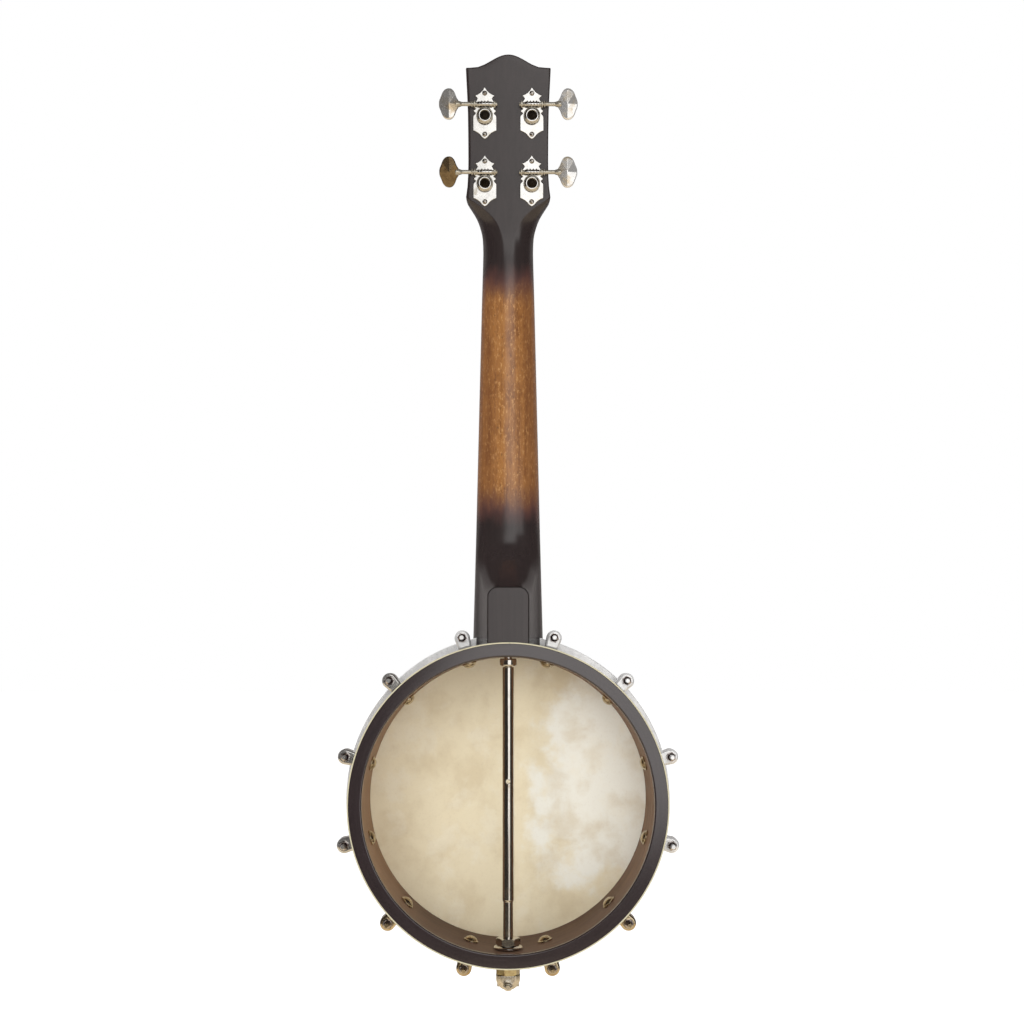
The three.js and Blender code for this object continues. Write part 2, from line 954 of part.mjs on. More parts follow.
// The heel's outline at one depth: a rectangle with a rounded upper end.
function heelRing(depth, halfWidth, top, radius) {
  const right = [new THREE.Vector3(halfWidth, depth, heel.innerEnd)];
  for (let step = 0; step <= heel.cornerSteps; step += 1) {
    const turn = (step / heel.cornerSteps) * (Math.PI / 2);
    right.push(new THREE.Vector3(
      halfWidth - radius * (1 - Math.cos(turn)),
      depth,
      top - radius * (1 - Math.sin(turn)),
    ));
  }
  const left = right.map((point) => new THREE.Vector3(-point.x, point.y, point.z)).reverse();
  return [...right, ...left];
}

function heelGeometry() {
  const deepest = hoopBack - seatGap;
  const rings = heelShares.map(([depthShare, widthShare, lengthShare]) => heelRing(
    THREE.MathUtils.lerp(heel.capFromBack, deepest, depthShare),
    THREE.MathUtils.lerp(heel.capHalfWidth, heel.rootHalfWidth, widthShare),
    rim.outerRadius + THREE.MathUtils.lerp(heel.capLength, heel.throatLength, lengthShare),
    THREE.MathUtils.lerp(heel.capCornerRadius, heel.throatCornerRadius, Math.max(widthShare, 0)),
  ));
  return loft(rings.reverse());
}

const tunerPlaces = [
  { name: 'upper_left', side: -1, height: tuner.upperHeight },
  { name: 'upper_right', side: 1, height: tuner.upperHeight },
  { name: 'lower_left', side: -1, height: tuner.lowerHeight },
  { name: 'lower_right', side: 1, height: tuner.lowerHeight },
];

function neckGeometry() {
  const whole = join(neckShaftGeometry(), headstockSlabGeometry(), heelGeometry());
  const rimCutRadius = rim.outerRadius + heel.rimClearance;
  const rimCut = barAlongY(rimCutRadius, -cutOverrun, pastNeckFront, ringSides);
  const hoopCutRadius = hoopOuter + heel.hoopClearance;
  const hoopCut = barAlongY(hoopCutRadius, hoopBack - seatGap, pastNeckFront, ringSides);
  const studPocket = barAlongZ(
    rod.studRadius + seatGap,
    rimInnerRadius,
    rimInnerRadius + rod.neckStudLength + cutOverrun,
  );
  studPocket.translate(0, rod.fromBack, 0);
  const pastHeadstock = headstock.thickness + cutOverrun;
  const postHoles = tunerPlaces.map(({ side, height }) => {
    const hole = barAlongZ(bushing.sleeveRadius + seatGap, -cutOverrun, pastHeadstock);
    return hole.translate(side * tuner.fromMiddle, height, 0).applyMatrix4(headstockFrame);
  });
  const screwHoles = tunerPlaces.flatMap(({ side, height }) => plateScrewHeights().map((up) => {
    const hole = barAlongZ(
      plateScrew.shankRadius + seatGap,
      headstock.thickness - plateScrew.shankLength - seatGap,
      pastHeadstock,
      wireSides,
    );
    return hole.translate(side * tuner.fromMiddle, height + up, 0).applyMatrix4(headstockFrame);
  }));
  return cut(whole, rimCut, hoopCut, studPocket, ...postHoles, ...screwHoles);
}

function fretPlace(number) {
  return scaleLength * (1 - 2 ** (-number / 12));
}

function fretboardGeometry() {
  const endHeight = hoopOuter + fretboard.endPastHoop;
  const length = (nutHeight - endHeight) / Math.cos(neckAngle);
  const nutHalf = neckHalfWidth(0);
  const endHalf = neckHalfWidth(length);
  const board = thicken(shapeFrom([
    [-endHalf, -length],
    [endHalf, -length],
    [nutHalf, 0],
    [-nutHalf, 0],
  ]), fretboard.thickness);
  const pastLastFret = scaleLength - length + fret.fromBoardEnd;
  const fretCount = Math.floor(12 * Math.log2(scaleLength / pastLastFret));
  const frets = Array.from({ length: fretCount }, (_, index) => {
    const down = fretPlace(index + 1);
    const half = neckHalfWidth(down) - fret.height / 2;
    const crown = shapeFrom([
      [-fret.width / 2, fret.height],
      [fret.width / 2, fret.height],
      [fret.width / 2, 0],
      [0, -fret.height],
      [-fret.width / 2, 0],
    ]);
    return thicken(crown, 2 * half)
      .rotateY(Math.PI / 2)
      .rotateX(Math.PI / 2)
      .translate(-half, -down, 0);
  });
  return join(board, ...frets).applyMatrix4(neckFrame);
}

// Places across the neck, from the left of the back view to its right.
function stringPlaces(span) {
  return strings.radii.map((_, index) => span * (index / (strings.radii.length - 1) - 1 / 2));
}

function stringNutGeometry() {
  const half = neck.nutWidth / 2;
  const height = fretboard.thickness + stringNut.rise;
  const body = block(2 * half, stringNut.thickness, height);
  body.translate(0, stringNut.thickness / 2 + seatGap, fretboard.thickness - height / 2);
  const slotLength = stringNut.thickness + 2 * cutOverrun;
  const slots = stringPlaces(strings.nutSpan).map((across) => {
    const slot = block(stringNut.slotWidth, slotLength, 2 * stringNut.slotDepth);
    return slot.translate(across, stringNut.thickness / 2 + seatGap, -stringNut.rise);
  });
  return cut(body, ...slots).applyMatrix4(neckFrame);
}

// The bridge, with two feet and a middle one, standing on the skin.
function bridgeGeometry() {
  const half = bridge.width / 2;
  const archTop = bridge.height * bridgeShares.archHeightShare;
  const topHalf = half * bridgeShares.topWidthShare;
  const shoulder = bridge.height * bridgeShares.shoulderShare;
  const innerFoot = bridge.footWidth / 2;
  const outerFoot = half - bridge.footWidth;
  const outline = shapeFrom([
    [-half, 0],
    [-outerFoot, 0],
    [-outerFoot + archTop / 2, archTop],
    [-innerFoot - archTop / 2, archTop],
    [-innerFoot, 0],
    [innerFoot, 0],
    [innerFoot + archTop / 2, archTop],
    [outerFoot - archTop / 2, archTop],
    [outerFoot, 0],
    [half, 0],
    [half, shoulder / 2],
    [topHalf, bridge.height],
    [-topHalf, bridge.height],
    [-half, shoulder / 2],
  ]);
  const slab = thicken(outline, bridge.footThickness).translate(0, 0, -bridge.footThickness / 2);
  const taper = (bridge.footThickness - bridge.topThickness) / 2;
  const wedges = [-1, 1].map((side) => {
    const wedge = shapeFrom([
      [(side * bridge.topThickness) / 2, bridge.height + cutOverrun],
      [side * (bridge.topThickness / 2 + taper), shoulder / 2],
      [side * (bridge.footThickness + taper), shoulder / 2],
      [side * (bridge.footThickness + taper), bridge.height + cutOverrun],
    ]);
    return thicken(wedge, bridge.width + 2 * cutOverrun)
      .rotateY(Math.PI / 2)
      .translate(-half - cutOverrun, 0, 0);
  });
  const slots = stringPlaces(strings.bridgeSpan).map((across) => {
    const slot = block(bridge.slotWidth, 2 * bridge.slotDepth, bridge.footThickness + cutOverrun);
    return slot.translate(across, bridge.height, 0);
  });
  return cut(slab, ...wedges, ...slots).translate(0, headFront + seatGap, bridgeHeight);
}

function addNeck() {
  addPiece(pot, 'neck', neckGeometry(), finishes.neckWood);
  addPiece(pot, 'fretboard', fretboardGeometry(), finishes.ebony);
  addPiece(pot, 'string_nut', stringNutGeometry(), finishes.bone);
  addPiece(pot, 'bridge', bridgeGeometry(), finishes.maple);
}

// The strings

// Inner strings run to the upper posts and outer strings to the lower ones.
function postForString(index) {
  const inner = index > 0 && index < strings.radii.length - 1;
  const side = index < strings.radii.length / 2 ? -1 : 1;
  const height = inner ? tuner.upperHeight : tuner.lowerHeight;
  return tunerPlaces.find((place) => place.side === side && place.height === height);
}

function stringRoute(index) {
  const radius = strings.radii[index];
  const tailAcross = stringPlaces(strings.tailSpan)[index];
  const bridgeAcross = stringPlaces(strings.bridgeSpan)[index];
  const nutAcross = stringPlaces(strings.nutSpan)[index];
  const legOuter = -(hoopOuter + tailpiece.hoopClearance + tailpiece.legThickness);
  const lipFront = headFront + tailpiece.aboveHead + tailpiece.thickness / 2 + tailpiece.lipHeight;
  const slotMiddle = legOuter + tailpiece.length - tailpiece.slotFromLip - tailpiece.slotLength / 2;
  const slotBack = headFront + tailpiece.aboveHead;
  const bridgeTop = headFront + seatGap + bridge.height - bridge.slotDepth + seatGap + radius;
  const rest = seatGap + radius;
  const points = [
    new THREE.Vector3(tailAcross, slotBack, slotMiddle),
    new THREE.Vector3(tailAcross, lipFront + rest, slotMiddle + tailpiece.slotLength / 2),
    new THREE.Vector3(bridgeAcross, bridgeTop, bridgeHeight - bridge.topThickness / 2),
    new THREE.Vector3(bridgeAcross, bridgeTop, bridgeHeight + bridge.topThickness / 2),
  ];
  const nutRest = -stringNut.rise + stringNut.slotDepth - rest;
  [0, stringNut.thickness + 2 * seatGap].forEach((along) => {
    points.push(new THREE.Vector3(nutAcross, along, nutRest).applyMatrix4(neckFrame));
  });
  windingPoints(postForString(index), nutAcross, radius).forEach((point) => points.push(point));
  return points;
}

// Turns about the post that start where the string comes in on its inner side.
function windingPoints(place, nutAcross, radius) {
  const ringRadius = post.radius + runningGap + radius;
  const steps = Math.round(strings.windingTurns * strings.stepsPerTurn);
  return Array.from({ length: steps + 1 }, (_, step) => {
    const turn = (step / strings.stepsPerTurn) * 2 * Math.PI;
    const across = place.side * (tuner.fromMiddle - ringRadius * Math.cos(turn));
    const height = place.height + ringRadius * Math.sin(turn);
    const outward = post.stringHeight - (turn / (2 * Math.PI)) * strings.windingPitch;
    return new THREE.Vector3(across, height, -outward).applyMatrix4(headstockFrame);
  });
}

function addStrings() {
  strings.radii.forEach((radius, index) => {
    const wire = wireAlong(stringRoute(index), radius, strings.sides);
    addPiece(pot, `string_${index + 1}`, wire, finishes.nylon);
  });
}

// The tuners, each in a frame on the headstock's back face with its post at the origin.

function plateScrewHeights() {
  return [plate.above * plateScrew.aboveShare, -plate.below * plateScrew.belowShare];
}

function tunerPlateGeometry() {
  const upper = plateUpperShares.map(([widthShare, heightShare]) => [
    widthShare * plate.halfWidth,
    heightShare * plate.above,
  ]);
  const lower = plateLowerShares.map(([widthShare, heightShare]) => [
    widthShare * plate.halfWidth,
    -heightShare * plate.below,
  ]);
  const right = [...lower, ...upper];
  const left = right.map(([across, height]) => [-across, height]).reverse();
  const outline = shapeFrom([[0, -plate.below], ...right, [0, plate.above], ...left]);
  const flat = thicken(outline, plate.thickness).translate(0, 0, seatGap);
  const ears = [-1, 1].map((side) => {
    const ear = block(plate.earThickness, 2 * plate.earHalfWidth, plate.earHeight);
    const across = side * (plate.earSpan + plate.earThickness) / 2;
    return ear.translate(across, wormHeight, seatGap + plate.earHeight / 2);
  });
  const feet = block(plate.earSpan + 2 * plate.earThickness, 2 * plate.earHalfWidth, plate.thickness);
  feet.translate(0, wormHeight, seatGap + plate.thickness / 2);
  const plateBack = seatGap + plate.thickness;
  const screws = plateScrewHeights().flatMap((height) => [
    barAlongZ(plateScrew.radius, seatGap, plateBack + plateScrew.height, wireSides),
    barAlongZ(plateScrew.shankRadius, -plateScrew.shankLength, plateBack, wireSides),
  ].map((piece) => piece.translate(0, height, 0)));
  const shaftBoreRadius = shaft.radius + runningGap;
  const shaftBore = barAlongX(shaftBoreRadius, -plate.earSpan, plate.earSpan, smallRoundSides);
  shaftBore.translate(0, wormHeight, gearMiddle);
  const postBore = barAlongZ(post.radius + runningGap, 0, plateBack + cutOverrun);
  return cut(join(flat, feet, ...ears, ...screws), shaftBore, postBore);
}

// A wheel with slanted teeth that follow the worm's thread.
function gearGeometry() {
  const tip = gear.pitchRadius + gear.addendum;
  const root = gear.pitchRadius - gear.dedendum;
  const toothAngle = (2 * Math.PI) / gear.teeth;
  const outline = [];
  for (let tooth = 0; tooth < gear.teeth; tooth += 1) {
    const middle = Math.PI / 2 + (tooth + 1 / 2) * toothAngle;
    const rootHalf = gear.toothShareOfPitch * toothAngle;
    const tipHalf = (gear.tipShareOfPitch * toothAngle) / 2;
    const corners = [
      [root, -rootHalf],
      [tip, -tipHalf],
      [tip, tipHalf],
      [root, rootHalf],
    ];
    corners.forEach(([radius, offset]) => {
      const turn = middle + offset;
      outline.push([radius * Math.cos(turn), radius * Math.sin(turn)]);
    });
  }
  const wheel = thicken(shapeFrom(outline), gear.face).translate(0, 0, -gear.face / 2);
  const slant = gearPitch / (2 * Math.PI * worm.pitchRadius);
  const positions = wheel.attributes.position;
  const point = new THREE.Vector3();
  const axis = new THREE.Vector3(0, 0, 1);
  for (let index = 0; index < positions.count; index += 1) {
    point.fromBufferAttribute(positions, index);
    point.applyAxisAngle(axis, (slant * point.z) / gear.pitchRadius);
    positions.setXYZ(index, point.x, point.y, point.z);
  }
  return wheel.translate(0, 0, gearMiddle);
}

function tunerPostGeometry() {
  const gearTop = gearMiddle + gear.face / 2;
  const capTop = gearTop + postCap.height;
  const front = headstock.thickness + post.aboveFace;
  const stem = barAlongZ(post.radius, -front, gearTop, smallRoundSides);
  const recessFloor = capTop - postCap.recessDepth;
  const cap = barAlongZ(postCap.radius, gearTop - seatGap, capTop);
  const recess = barAlongZ(postCap.recessRadius, recessFloor, capTop + cutOverrun, smallRoundSides);
  const screw = barAlongZ(
    postCap.screwRadius,
    recessFloor - postCap.screwHeight,
    recessFloor + postCap.screwHeight,
    smallRoundSides,
  );
  const drill = post.radius + cutOverrun;
  const hole = barAlongX(post.holeRadius, -drill, drill, smallRoundSides);
  hole.translate(0, 0, -headstock.thickness - post.stringHeight);
  return cut(join(cut(join(stem, cap, gearGeometry()), recess), screw), hole);
}

// The worm's raised thread: one slanted ridge that winds about the shaft.
function threadGeometry() {
  const rootHalf = (worm.threadRootShareOfPitch * gearPitch) / 2;
  const tipHalf = (worm.threadTipShareOfPitch * gearPitch) / 2;
  const buried = shaft.radius * Math.cos(Math.PI / smallRoundSides) - seatGap;
  const steps = worm.threadTurns * worm.stepsPerTurn;
  const rings = [];
  for (let step = 0; step <= steps; step += 1) {
    const turns = step / worm.stepsPerTurn - worm.threadTurns / 2;
    const turn = turns * 2 * Math.PI;
    const along = turns * gearPitch;
    const corners = [
      [rootHalf, buried],
      [tipHalf, worm.threadRadius],
      [-tipHalf, worm.threadRadius],
      [-rootHalf, buried],
    ];
    rings.push(corners.map(([offset, radius]) => new THREE.Vector3(
      along + offset,
      -radius * Math.cos(turn),
      -radius * Math.sin(turn),
    )));
  }
  return loft(rings);
}

// A four-lobed button: thick in the middle, thin at the edge, with a ridge between its lobes.
function buttonGeometry(side) {
  const halfLength = button.length / 2;
  const halfHeight = button.height / 2;
  const middle = button.start + halfLength;
  const outline = Array.from({ length: button.outlineSteps }, (_, step) => {
    const turn = (step / button.outlineSteps) * 2 * Math.PI;
    const lobe = 1 + button.lobeDepthShare * (Math.cos(button.lobes * turn) - 1);
    return [middle + halfLength * lobe * Math.cos(turn), halfHeight * lobe * Math.sin(turn)];
  });
  const layer = (share, depth) => outline.map(([along, across]) => new THREE.Vector3(
    side * (middle + (along - middle) * share),
    side * across * share,
    depth,
  ));
  return loft([
    layer(button.crownShare, -button.thickness / 2),
    layer(1, -button.edgeThickness / 2),
    layer(1, button.edgeThickness / 2),
    layer(button.crownShare, button.thickness / 2),
  ]);
}

function tunerShaftGeometry(side) {
  const innerEnd = -(plate.earSpan / 2 + plate.earThickness + shaft.endPastEar);
  const ferruleStart = plate.earSpan / 2 + plate.earThickness + runningGap;
  const bar = barAlongX(shaft.radius, innerEnd, button.start + button.length / 2, smallRoundSides);
  const collar = barAlongX(
    shaft.collarRadius,
    ferruleStart,
    ferruleStart + shaft.collarThickness,
    smallRoundSides,
  );
  const ferrule = barAlongX(
    button.ferruleRadius,
    button.start - shaft.collarThickness,
    button.start + button.length / 4,
    smallRoundSides,
  );
  const straight = join(bar, collar, ferrule);
  if (side < 0) {
    straight.rotateY(Math.PI);
  }
  return join(straight, threadGeometry(), buttonGeometry(side));
}

function bushingGeometry() {
  const face = -headstock.thickness - seatGap;
  const flangeFront = face - bushing.flangeThickness;
  const sleeveEnd = face + bushing.sleeveDepth;
  const flange = barAlongZ(bushing.flangeRadius, flangeFront, face, smallRoundSides);
  const sleeve = barAlongZ(bushing.sleeveRadius, flangeFront, sleeveEnd, smallRoundSides);
  const boreRadius = post.radius + runningGap;
  const bore = barAlongZ(boreRadius, flangeFront - cutOverrun, sleeveEnd + cutOverrun, smallRoundSides);
  return cut(join(flange, sleeve), bore);
}

function addTuners() {
  const plateShape = tunerPlateGeometry();
  const postShape = tunerPostGeometry();
  const bushingShape = bushingGeometry();
  const shaftShapes = new Map([-1, 1].map((side) => [side, tunerShaftGeometry(side)]));
  const headstockBack = new THREE.Group();
  headstockBack.applyMatrix4(headstockFrame);
  pot.add(headstockBack);
  tunerPlaces.forEach(({ name, side, height }) => {
    const seat = new THREE.Group();
    seat.position.set(side * tuner.fromMiddle, height, headstock.thickness);
    headstockBack.add(seat);
    addPiece(seat, `tuner_plate_${name}`, plateShape, finishes.nickel);
    addPiece(seat, `tuner_post_${name}`, postShape, finishes.nickel);
    addPiece(seat, `post_bushing_${name}`, bushingShape, finishes.nickel);
    const knob = addPiece(seat, `tuner_button_${name}`, shaftShapes.get(side), finishes.nickel);
    knob.position.set(0, wormHeight, gearMiddle);
  });
}

addPot();
addFittings();
addNeck();
addStrings();
addTuners();

const yokePoint = new THREE.Vector3(0, yoke.fromNut, yoke.fromFront).applyMatrix4(headstockFrame);
pot.position.copy(yokePoint).negate();

export default instrument;
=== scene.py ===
"""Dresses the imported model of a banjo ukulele, seen from its open back.

Sizes are millimetres in the pot's own frame: the origin is the middle of the pot's back edge,
+Z runs up the neck and +Y points towards the playing side of the skin.
"""

import json
import logging
import math
from dataclasses import dataclass
from enum import Enum
from typing import Any, Callable, Iterable, Sequence

import bmesh
import bpy
from mathutils import Matrix, Vector

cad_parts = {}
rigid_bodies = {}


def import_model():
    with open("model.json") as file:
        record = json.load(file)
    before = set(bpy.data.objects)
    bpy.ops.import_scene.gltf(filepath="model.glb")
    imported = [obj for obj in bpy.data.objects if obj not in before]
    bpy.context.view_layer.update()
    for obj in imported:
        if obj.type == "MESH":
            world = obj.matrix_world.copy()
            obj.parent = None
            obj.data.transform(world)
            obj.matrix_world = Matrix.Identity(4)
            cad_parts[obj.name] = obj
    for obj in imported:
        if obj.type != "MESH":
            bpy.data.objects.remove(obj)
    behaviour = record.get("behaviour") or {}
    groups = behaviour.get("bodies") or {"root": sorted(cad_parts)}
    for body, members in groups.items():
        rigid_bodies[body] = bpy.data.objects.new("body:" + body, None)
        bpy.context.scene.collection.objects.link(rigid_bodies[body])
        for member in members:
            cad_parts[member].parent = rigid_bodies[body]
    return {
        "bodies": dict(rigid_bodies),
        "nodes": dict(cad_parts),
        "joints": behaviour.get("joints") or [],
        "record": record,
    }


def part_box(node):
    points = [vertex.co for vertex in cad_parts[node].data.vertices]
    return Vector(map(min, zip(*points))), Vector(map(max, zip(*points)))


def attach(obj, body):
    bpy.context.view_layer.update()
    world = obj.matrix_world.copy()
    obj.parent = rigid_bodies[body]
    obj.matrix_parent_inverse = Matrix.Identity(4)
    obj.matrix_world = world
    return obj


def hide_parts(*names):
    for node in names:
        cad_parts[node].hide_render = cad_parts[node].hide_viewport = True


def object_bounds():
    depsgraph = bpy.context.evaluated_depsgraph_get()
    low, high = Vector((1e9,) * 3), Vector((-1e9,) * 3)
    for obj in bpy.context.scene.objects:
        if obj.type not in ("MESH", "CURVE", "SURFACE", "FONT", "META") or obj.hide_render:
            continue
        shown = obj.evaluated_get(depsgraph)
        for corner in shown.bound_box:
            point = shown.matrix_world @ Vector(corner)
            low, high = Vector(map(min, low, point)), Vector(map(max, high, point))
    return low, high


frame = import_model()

CAD_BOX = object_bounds()
LOG = logging.getLogger("banjo_ukulele")

Point = tuple[float, float]
Corner = tuple[float, float, float]
Colour = tuple[float, float, float]

MM = 0.001
IDENTITY = Matrix.Identity(4)
POT_AXIS = Matrix.Rotation(math.radians(-90), 4, "X")
PLAN = Matrix.Rotation(math.radians(90), 4, "X")

# Radii in millimetres at which pieces that stand against the rim or the hoop end.
RIM_CLEAR = 101.75
HOOP_CLEAR = 107.6

WHITE = (1.0, 1.0, 1.0)


class Side(Enum):
    """The left or the right of the instrument as seen from its back."""

    LEFT = -1
    RIGHT = 1


class Cut(Enum):
    """How tools work on a shape: they are cut away, or only what they share stays."""

    AWAY = "DIFFERENCE"
    SHARE = "INTERSECT"


def shift(x: float = 0.0, y: float = 0.0, z: float = 0.0) -> Matrix:
    """A move by the given millimetres."""
    return Matrix.Translation((x, y, z))


def clock(angle: float) -> Matrix:
    """A turn about the pot's axis that takes the top towards the right."""
    return Matrix.Rotation(angle, 4, "Y")


def mix(low: float, high: float, share: float) -> float:
    """The value at a share of the way from low to high."""
    return low + (high - low) * share


def ramp(value: float, start: float, end: float) -> float:
    """A smooth step from 0 at start to 1 at end."""
    share = min(max((value - start) / (end - start), 0.0), 1.0)
    return share * share * (3 - 2 * share)


def table_at(rows: Sequence[Sequence[float]], place: float) -> list[float]:
    """Reads a table of rows that start with their place, with straight lines between them.

    Args:
        rows: rows sorted by their first value.
        place: where the table is read.

    Returns:
        The other values of the row at that place.
    """
    if place <= rows[0][0]:
        return list(rows[0][1:])
    for near, far in zip(rows, rows[1:]):
        if place <= far[0]:
            share = (place - near[0]) / (far[0] - near[0])
            return [mix(a, b, share) for a, b in zip(near[1:], far[1:])]
    return list(rows[-1][1:])


# Shapes


def turned(corners: Sequence[Corner], steps: int = 96, sweep: float = math.tau) -> bmesh.types.BMesh:
    """Turns a profile about the local Z axis, as on a lathe.

    Args:
        corners: radius, height and rounding of each corner of the closed profile.
        steps: how many steps the turn has.
        sweep: how far the profile is turned.

    Returns:
        A closed shape.
    """
    shape = bmesh.new()
    made = [shape.verts.new((radius, 0.0, height)) for radius, height, _ in corners]
    face = shape.faces.new(made)
    for vert, (_, _, rounding) in zip(made, corners):
        if rounding:
            bmesh.ops.bevel(shape, geom=[vert], offset=rounding, offset_type="OFFSET", segments=4,
                            profile=0.5, affect="VERTICES", material=-1, clamp_overlap=True)
    full = sweep > math.tau - 0.0001
    bmesh.ops.delete(shape, geom=shape.faces[:], context="FACES_ONLY")
    on_axis = [edge for edge in shape.edges if all(vert.co.x < 0.0001 for vert in edge.verts)]
    bmesh.ops.delete(shape, geom=on_axis, context="EDGES")
    bmesh.ops.spin(shape, geom=shape.verts[:] + shape.edges[:], cent=(0, 0, 0), axis=(0, 0, 1),
                   dvec=(0, 0, 0), angle=sweep, steps=steps, use_merge=full, use_duplicate=False)
    bmesh.ops.remove_doubles(shape, verts=shape.verts[:], dist=0.0005)
    bmesh.ops.holes_fill(shape, edges=[edge for edge in shape.edges if edge.is_boundary], sides=0)
    bmesh.ops.recalc_face_normals(shape, faces=shape.faces[:])
    return shape


def prism(outline: Sequence[Point], low: float, high: float, edge: float = 0.0, foot: float = 0.0,
          segments: int = 3) -> bmesh.types.BMesh:
    """Thickens a flat outline along the local Z axis.

    Args:
        outline: the outline's corners.
        low: height of the lower face.
        high: height of the upper face.
        edge: rounding of the upper edge.
        foot: rounding of the lower edge.
        segments: steps of each rounding.

    Returns:
        A closed shape.
    """
    shape = bmesh.new()
    face = shape.faces.new([shape.verts.new((x, y, low)) for x, y in outline])
    made = bmesh.ops.extrude_face_region(shape, geom=[face], use_keep_orig=True)
    raised = [item for item in made["geom"] if isinstance(item, bmesh.types.BMVert)]
    bmesh.ops.translate(shape, vec=(0, 0, high - low), verts=raised)
    bmesh.ops.recalc_face_normals(shape, faces=shape.faces[:])
    for level, size in ((high, edge), (low, foot)):
        if size:
            rim = [e for e in shape.edges if all(abs(v.co.z - level) < 0.0001 for v in e.verts)]
            bmesh.ops.bevel(shape, geom=rim, offset=size, offset_type="OFFSET", segments=segments,
                            profile=0.5, affect="EDGES", material=-1, clamp_overlap=False)
    return shape


def lofted(rings: Sequence[Sequence[Vector]]) -> bmesh.types.BMesh:
    """Extrudes a first ring from place to place, with flat ends.

    Args:
        rings: rings of as many points each, in the same order.

    Returns:
        A closed shape.
    """
    shape = bmesh.new()
    current = [shape.verts.new(point) for point in rings[0]]
    shape.faces.new(current)
    for ring in rings[1:]:
        edges = [shape.edges.get((a, b)) for a, b in zip(current, current[1:] + current[:1])]
        made = bmesh.ops.extrude_edge_only(shape, edges=edges)["geom"]
        fresh = {item for item in made if isinstance(item, bmesh.types.BMVert)}
        mates = [next(e.other_vert(v) for e in v.link_edges if e.other_vert(v) in fresh)
                 for v in current]
        for vert, point in zip(mates, ring):
            vert.co = point
        current = mates
    shape.faces.new(current)
    bmesh.ops.recalc_face_normals(shape, faces=shape.faces[:])
    return shape


def tube(path: Sequence[Vector], radius: float, sides: int = 12,
         ends: float = 0.0) -> bmesh.types.BMesh:
    """Runs a round wire along a path.

    Args:
        path: the points that the wire follows.
        radius: the wire's radius.
        sides: how many sides the wire has.
        ends: rounding of the wire's two ends.

    Returns:
        A closed shape.
    """
    rings: list[list[Vector]] = []
    side = (path[1] - path[0]).orthogonal().normalized()
    for index, point in enumerate(path):
        before = path[max(index - 1, 0)]
        after = path[min(index + 1, len(path) - 1)]
        ahead = (after - before).normalized()
        side = (side - ahead * side.dot(ahead)).normalized()
        other = ahead.cross(side)
        steps = [(0.0, radius)]
        if ends and index in (0, len(path) - 1):
            out = -1 if index == 0 else 1
            turns = [0.0, 0.35, 0.7, 1.05]
            steps = [(out * ends * math.sin(t), radius - ends * (1 - math.cos(t))) for t in turns]
            steps = steps[::-1] if index == 0 else steps
        for along, size in steps:
            rings.append([point + ahead * along + (side * math.cos(turn) + other * math.sin(turn)) * size
                          for turn in (math.tau * step / sides for step in range(sides))])
    return lofted(rings)


def bar(radius: float, low: float, high: float, round_low: float = 0.0, round_high: float = 0.0,
        steps: int = 48) -> bmesh.types.BMesh:
    """A round bar on the local Z axis, with rounded or plain ends."""
    return turned([(0, low, 0), (radius, low, round_low), (radius, high, round_high), (0, high, 0)],
                  steps)


def box(width: float, depth: float, height: float, edge: float = 0.0) -> bmesh.types.BMesh:
    """A block about its middle with softened edges.

    Args:
        width: size along X.
        depth: size along Y.
        height: size along Z.
        edge: rounding of every edge.

    Returns:
        A closed shape.
    """
    shape = bmesh.new()
    bmesh.ops.create_cube(shape, size=1.0)
    bmesh.ops.scale(shape, vec=(width, depth, height), verts=shape.verts[:])
    if edge:
        bmesh.ops.bevel(shape, geom=shape.edges[:], offset=edge, offset_type="OFFSET", segments=3,
                        profile=0.5, affect="EDGES", material=-1, clamp_overlap=True)
    return shape


def hexagon(across_flats: float, turn: float = 0.0) -> list[Point]:
    """Corners of a hexagon of a given width across its flats.

    Args:
        across_flats: width across the flats.
        turn: how far the hexagon is turned.

    Returns:
        The six corners.
    """
    radius = across_flats / 2 / math.cos(math.pi / 6)
    return [(radius * math.cos(turn + k * math.pi / 3), radius * math.sin(turn + k * math.pi / 3))
            for k in range(6)]


def hex_nut(across_flats: float, low: float, high: float, turn: float = 0.0) -> bmesh.types.BMesh:
    """A hexagon nut whose corners are turned down at both ends.

    Args:
        across_flats: width across the flats.
        low: height of the lower face.
        high: height of the upper face.
        turn: how far the hexagon is turned.

    Returns:
        A closed shape.
    """
    body = prism(hexagon(across_flats, turn), low, high)
    reach = across_flats * 0.62
    drop = across_flats * 0.07
    cone = turned([(0, low - 0.01, 0), (across_flats * 0.51, low - 0.01, 0), (reach, low + drop, 0),
                   (reach, high - drop, 0), (across_flats * 0.51, high + 0.01, 0),
                   (0, high + 0.01, 0)], 48)
    return worked(body, [cone], Cut.SHARE)


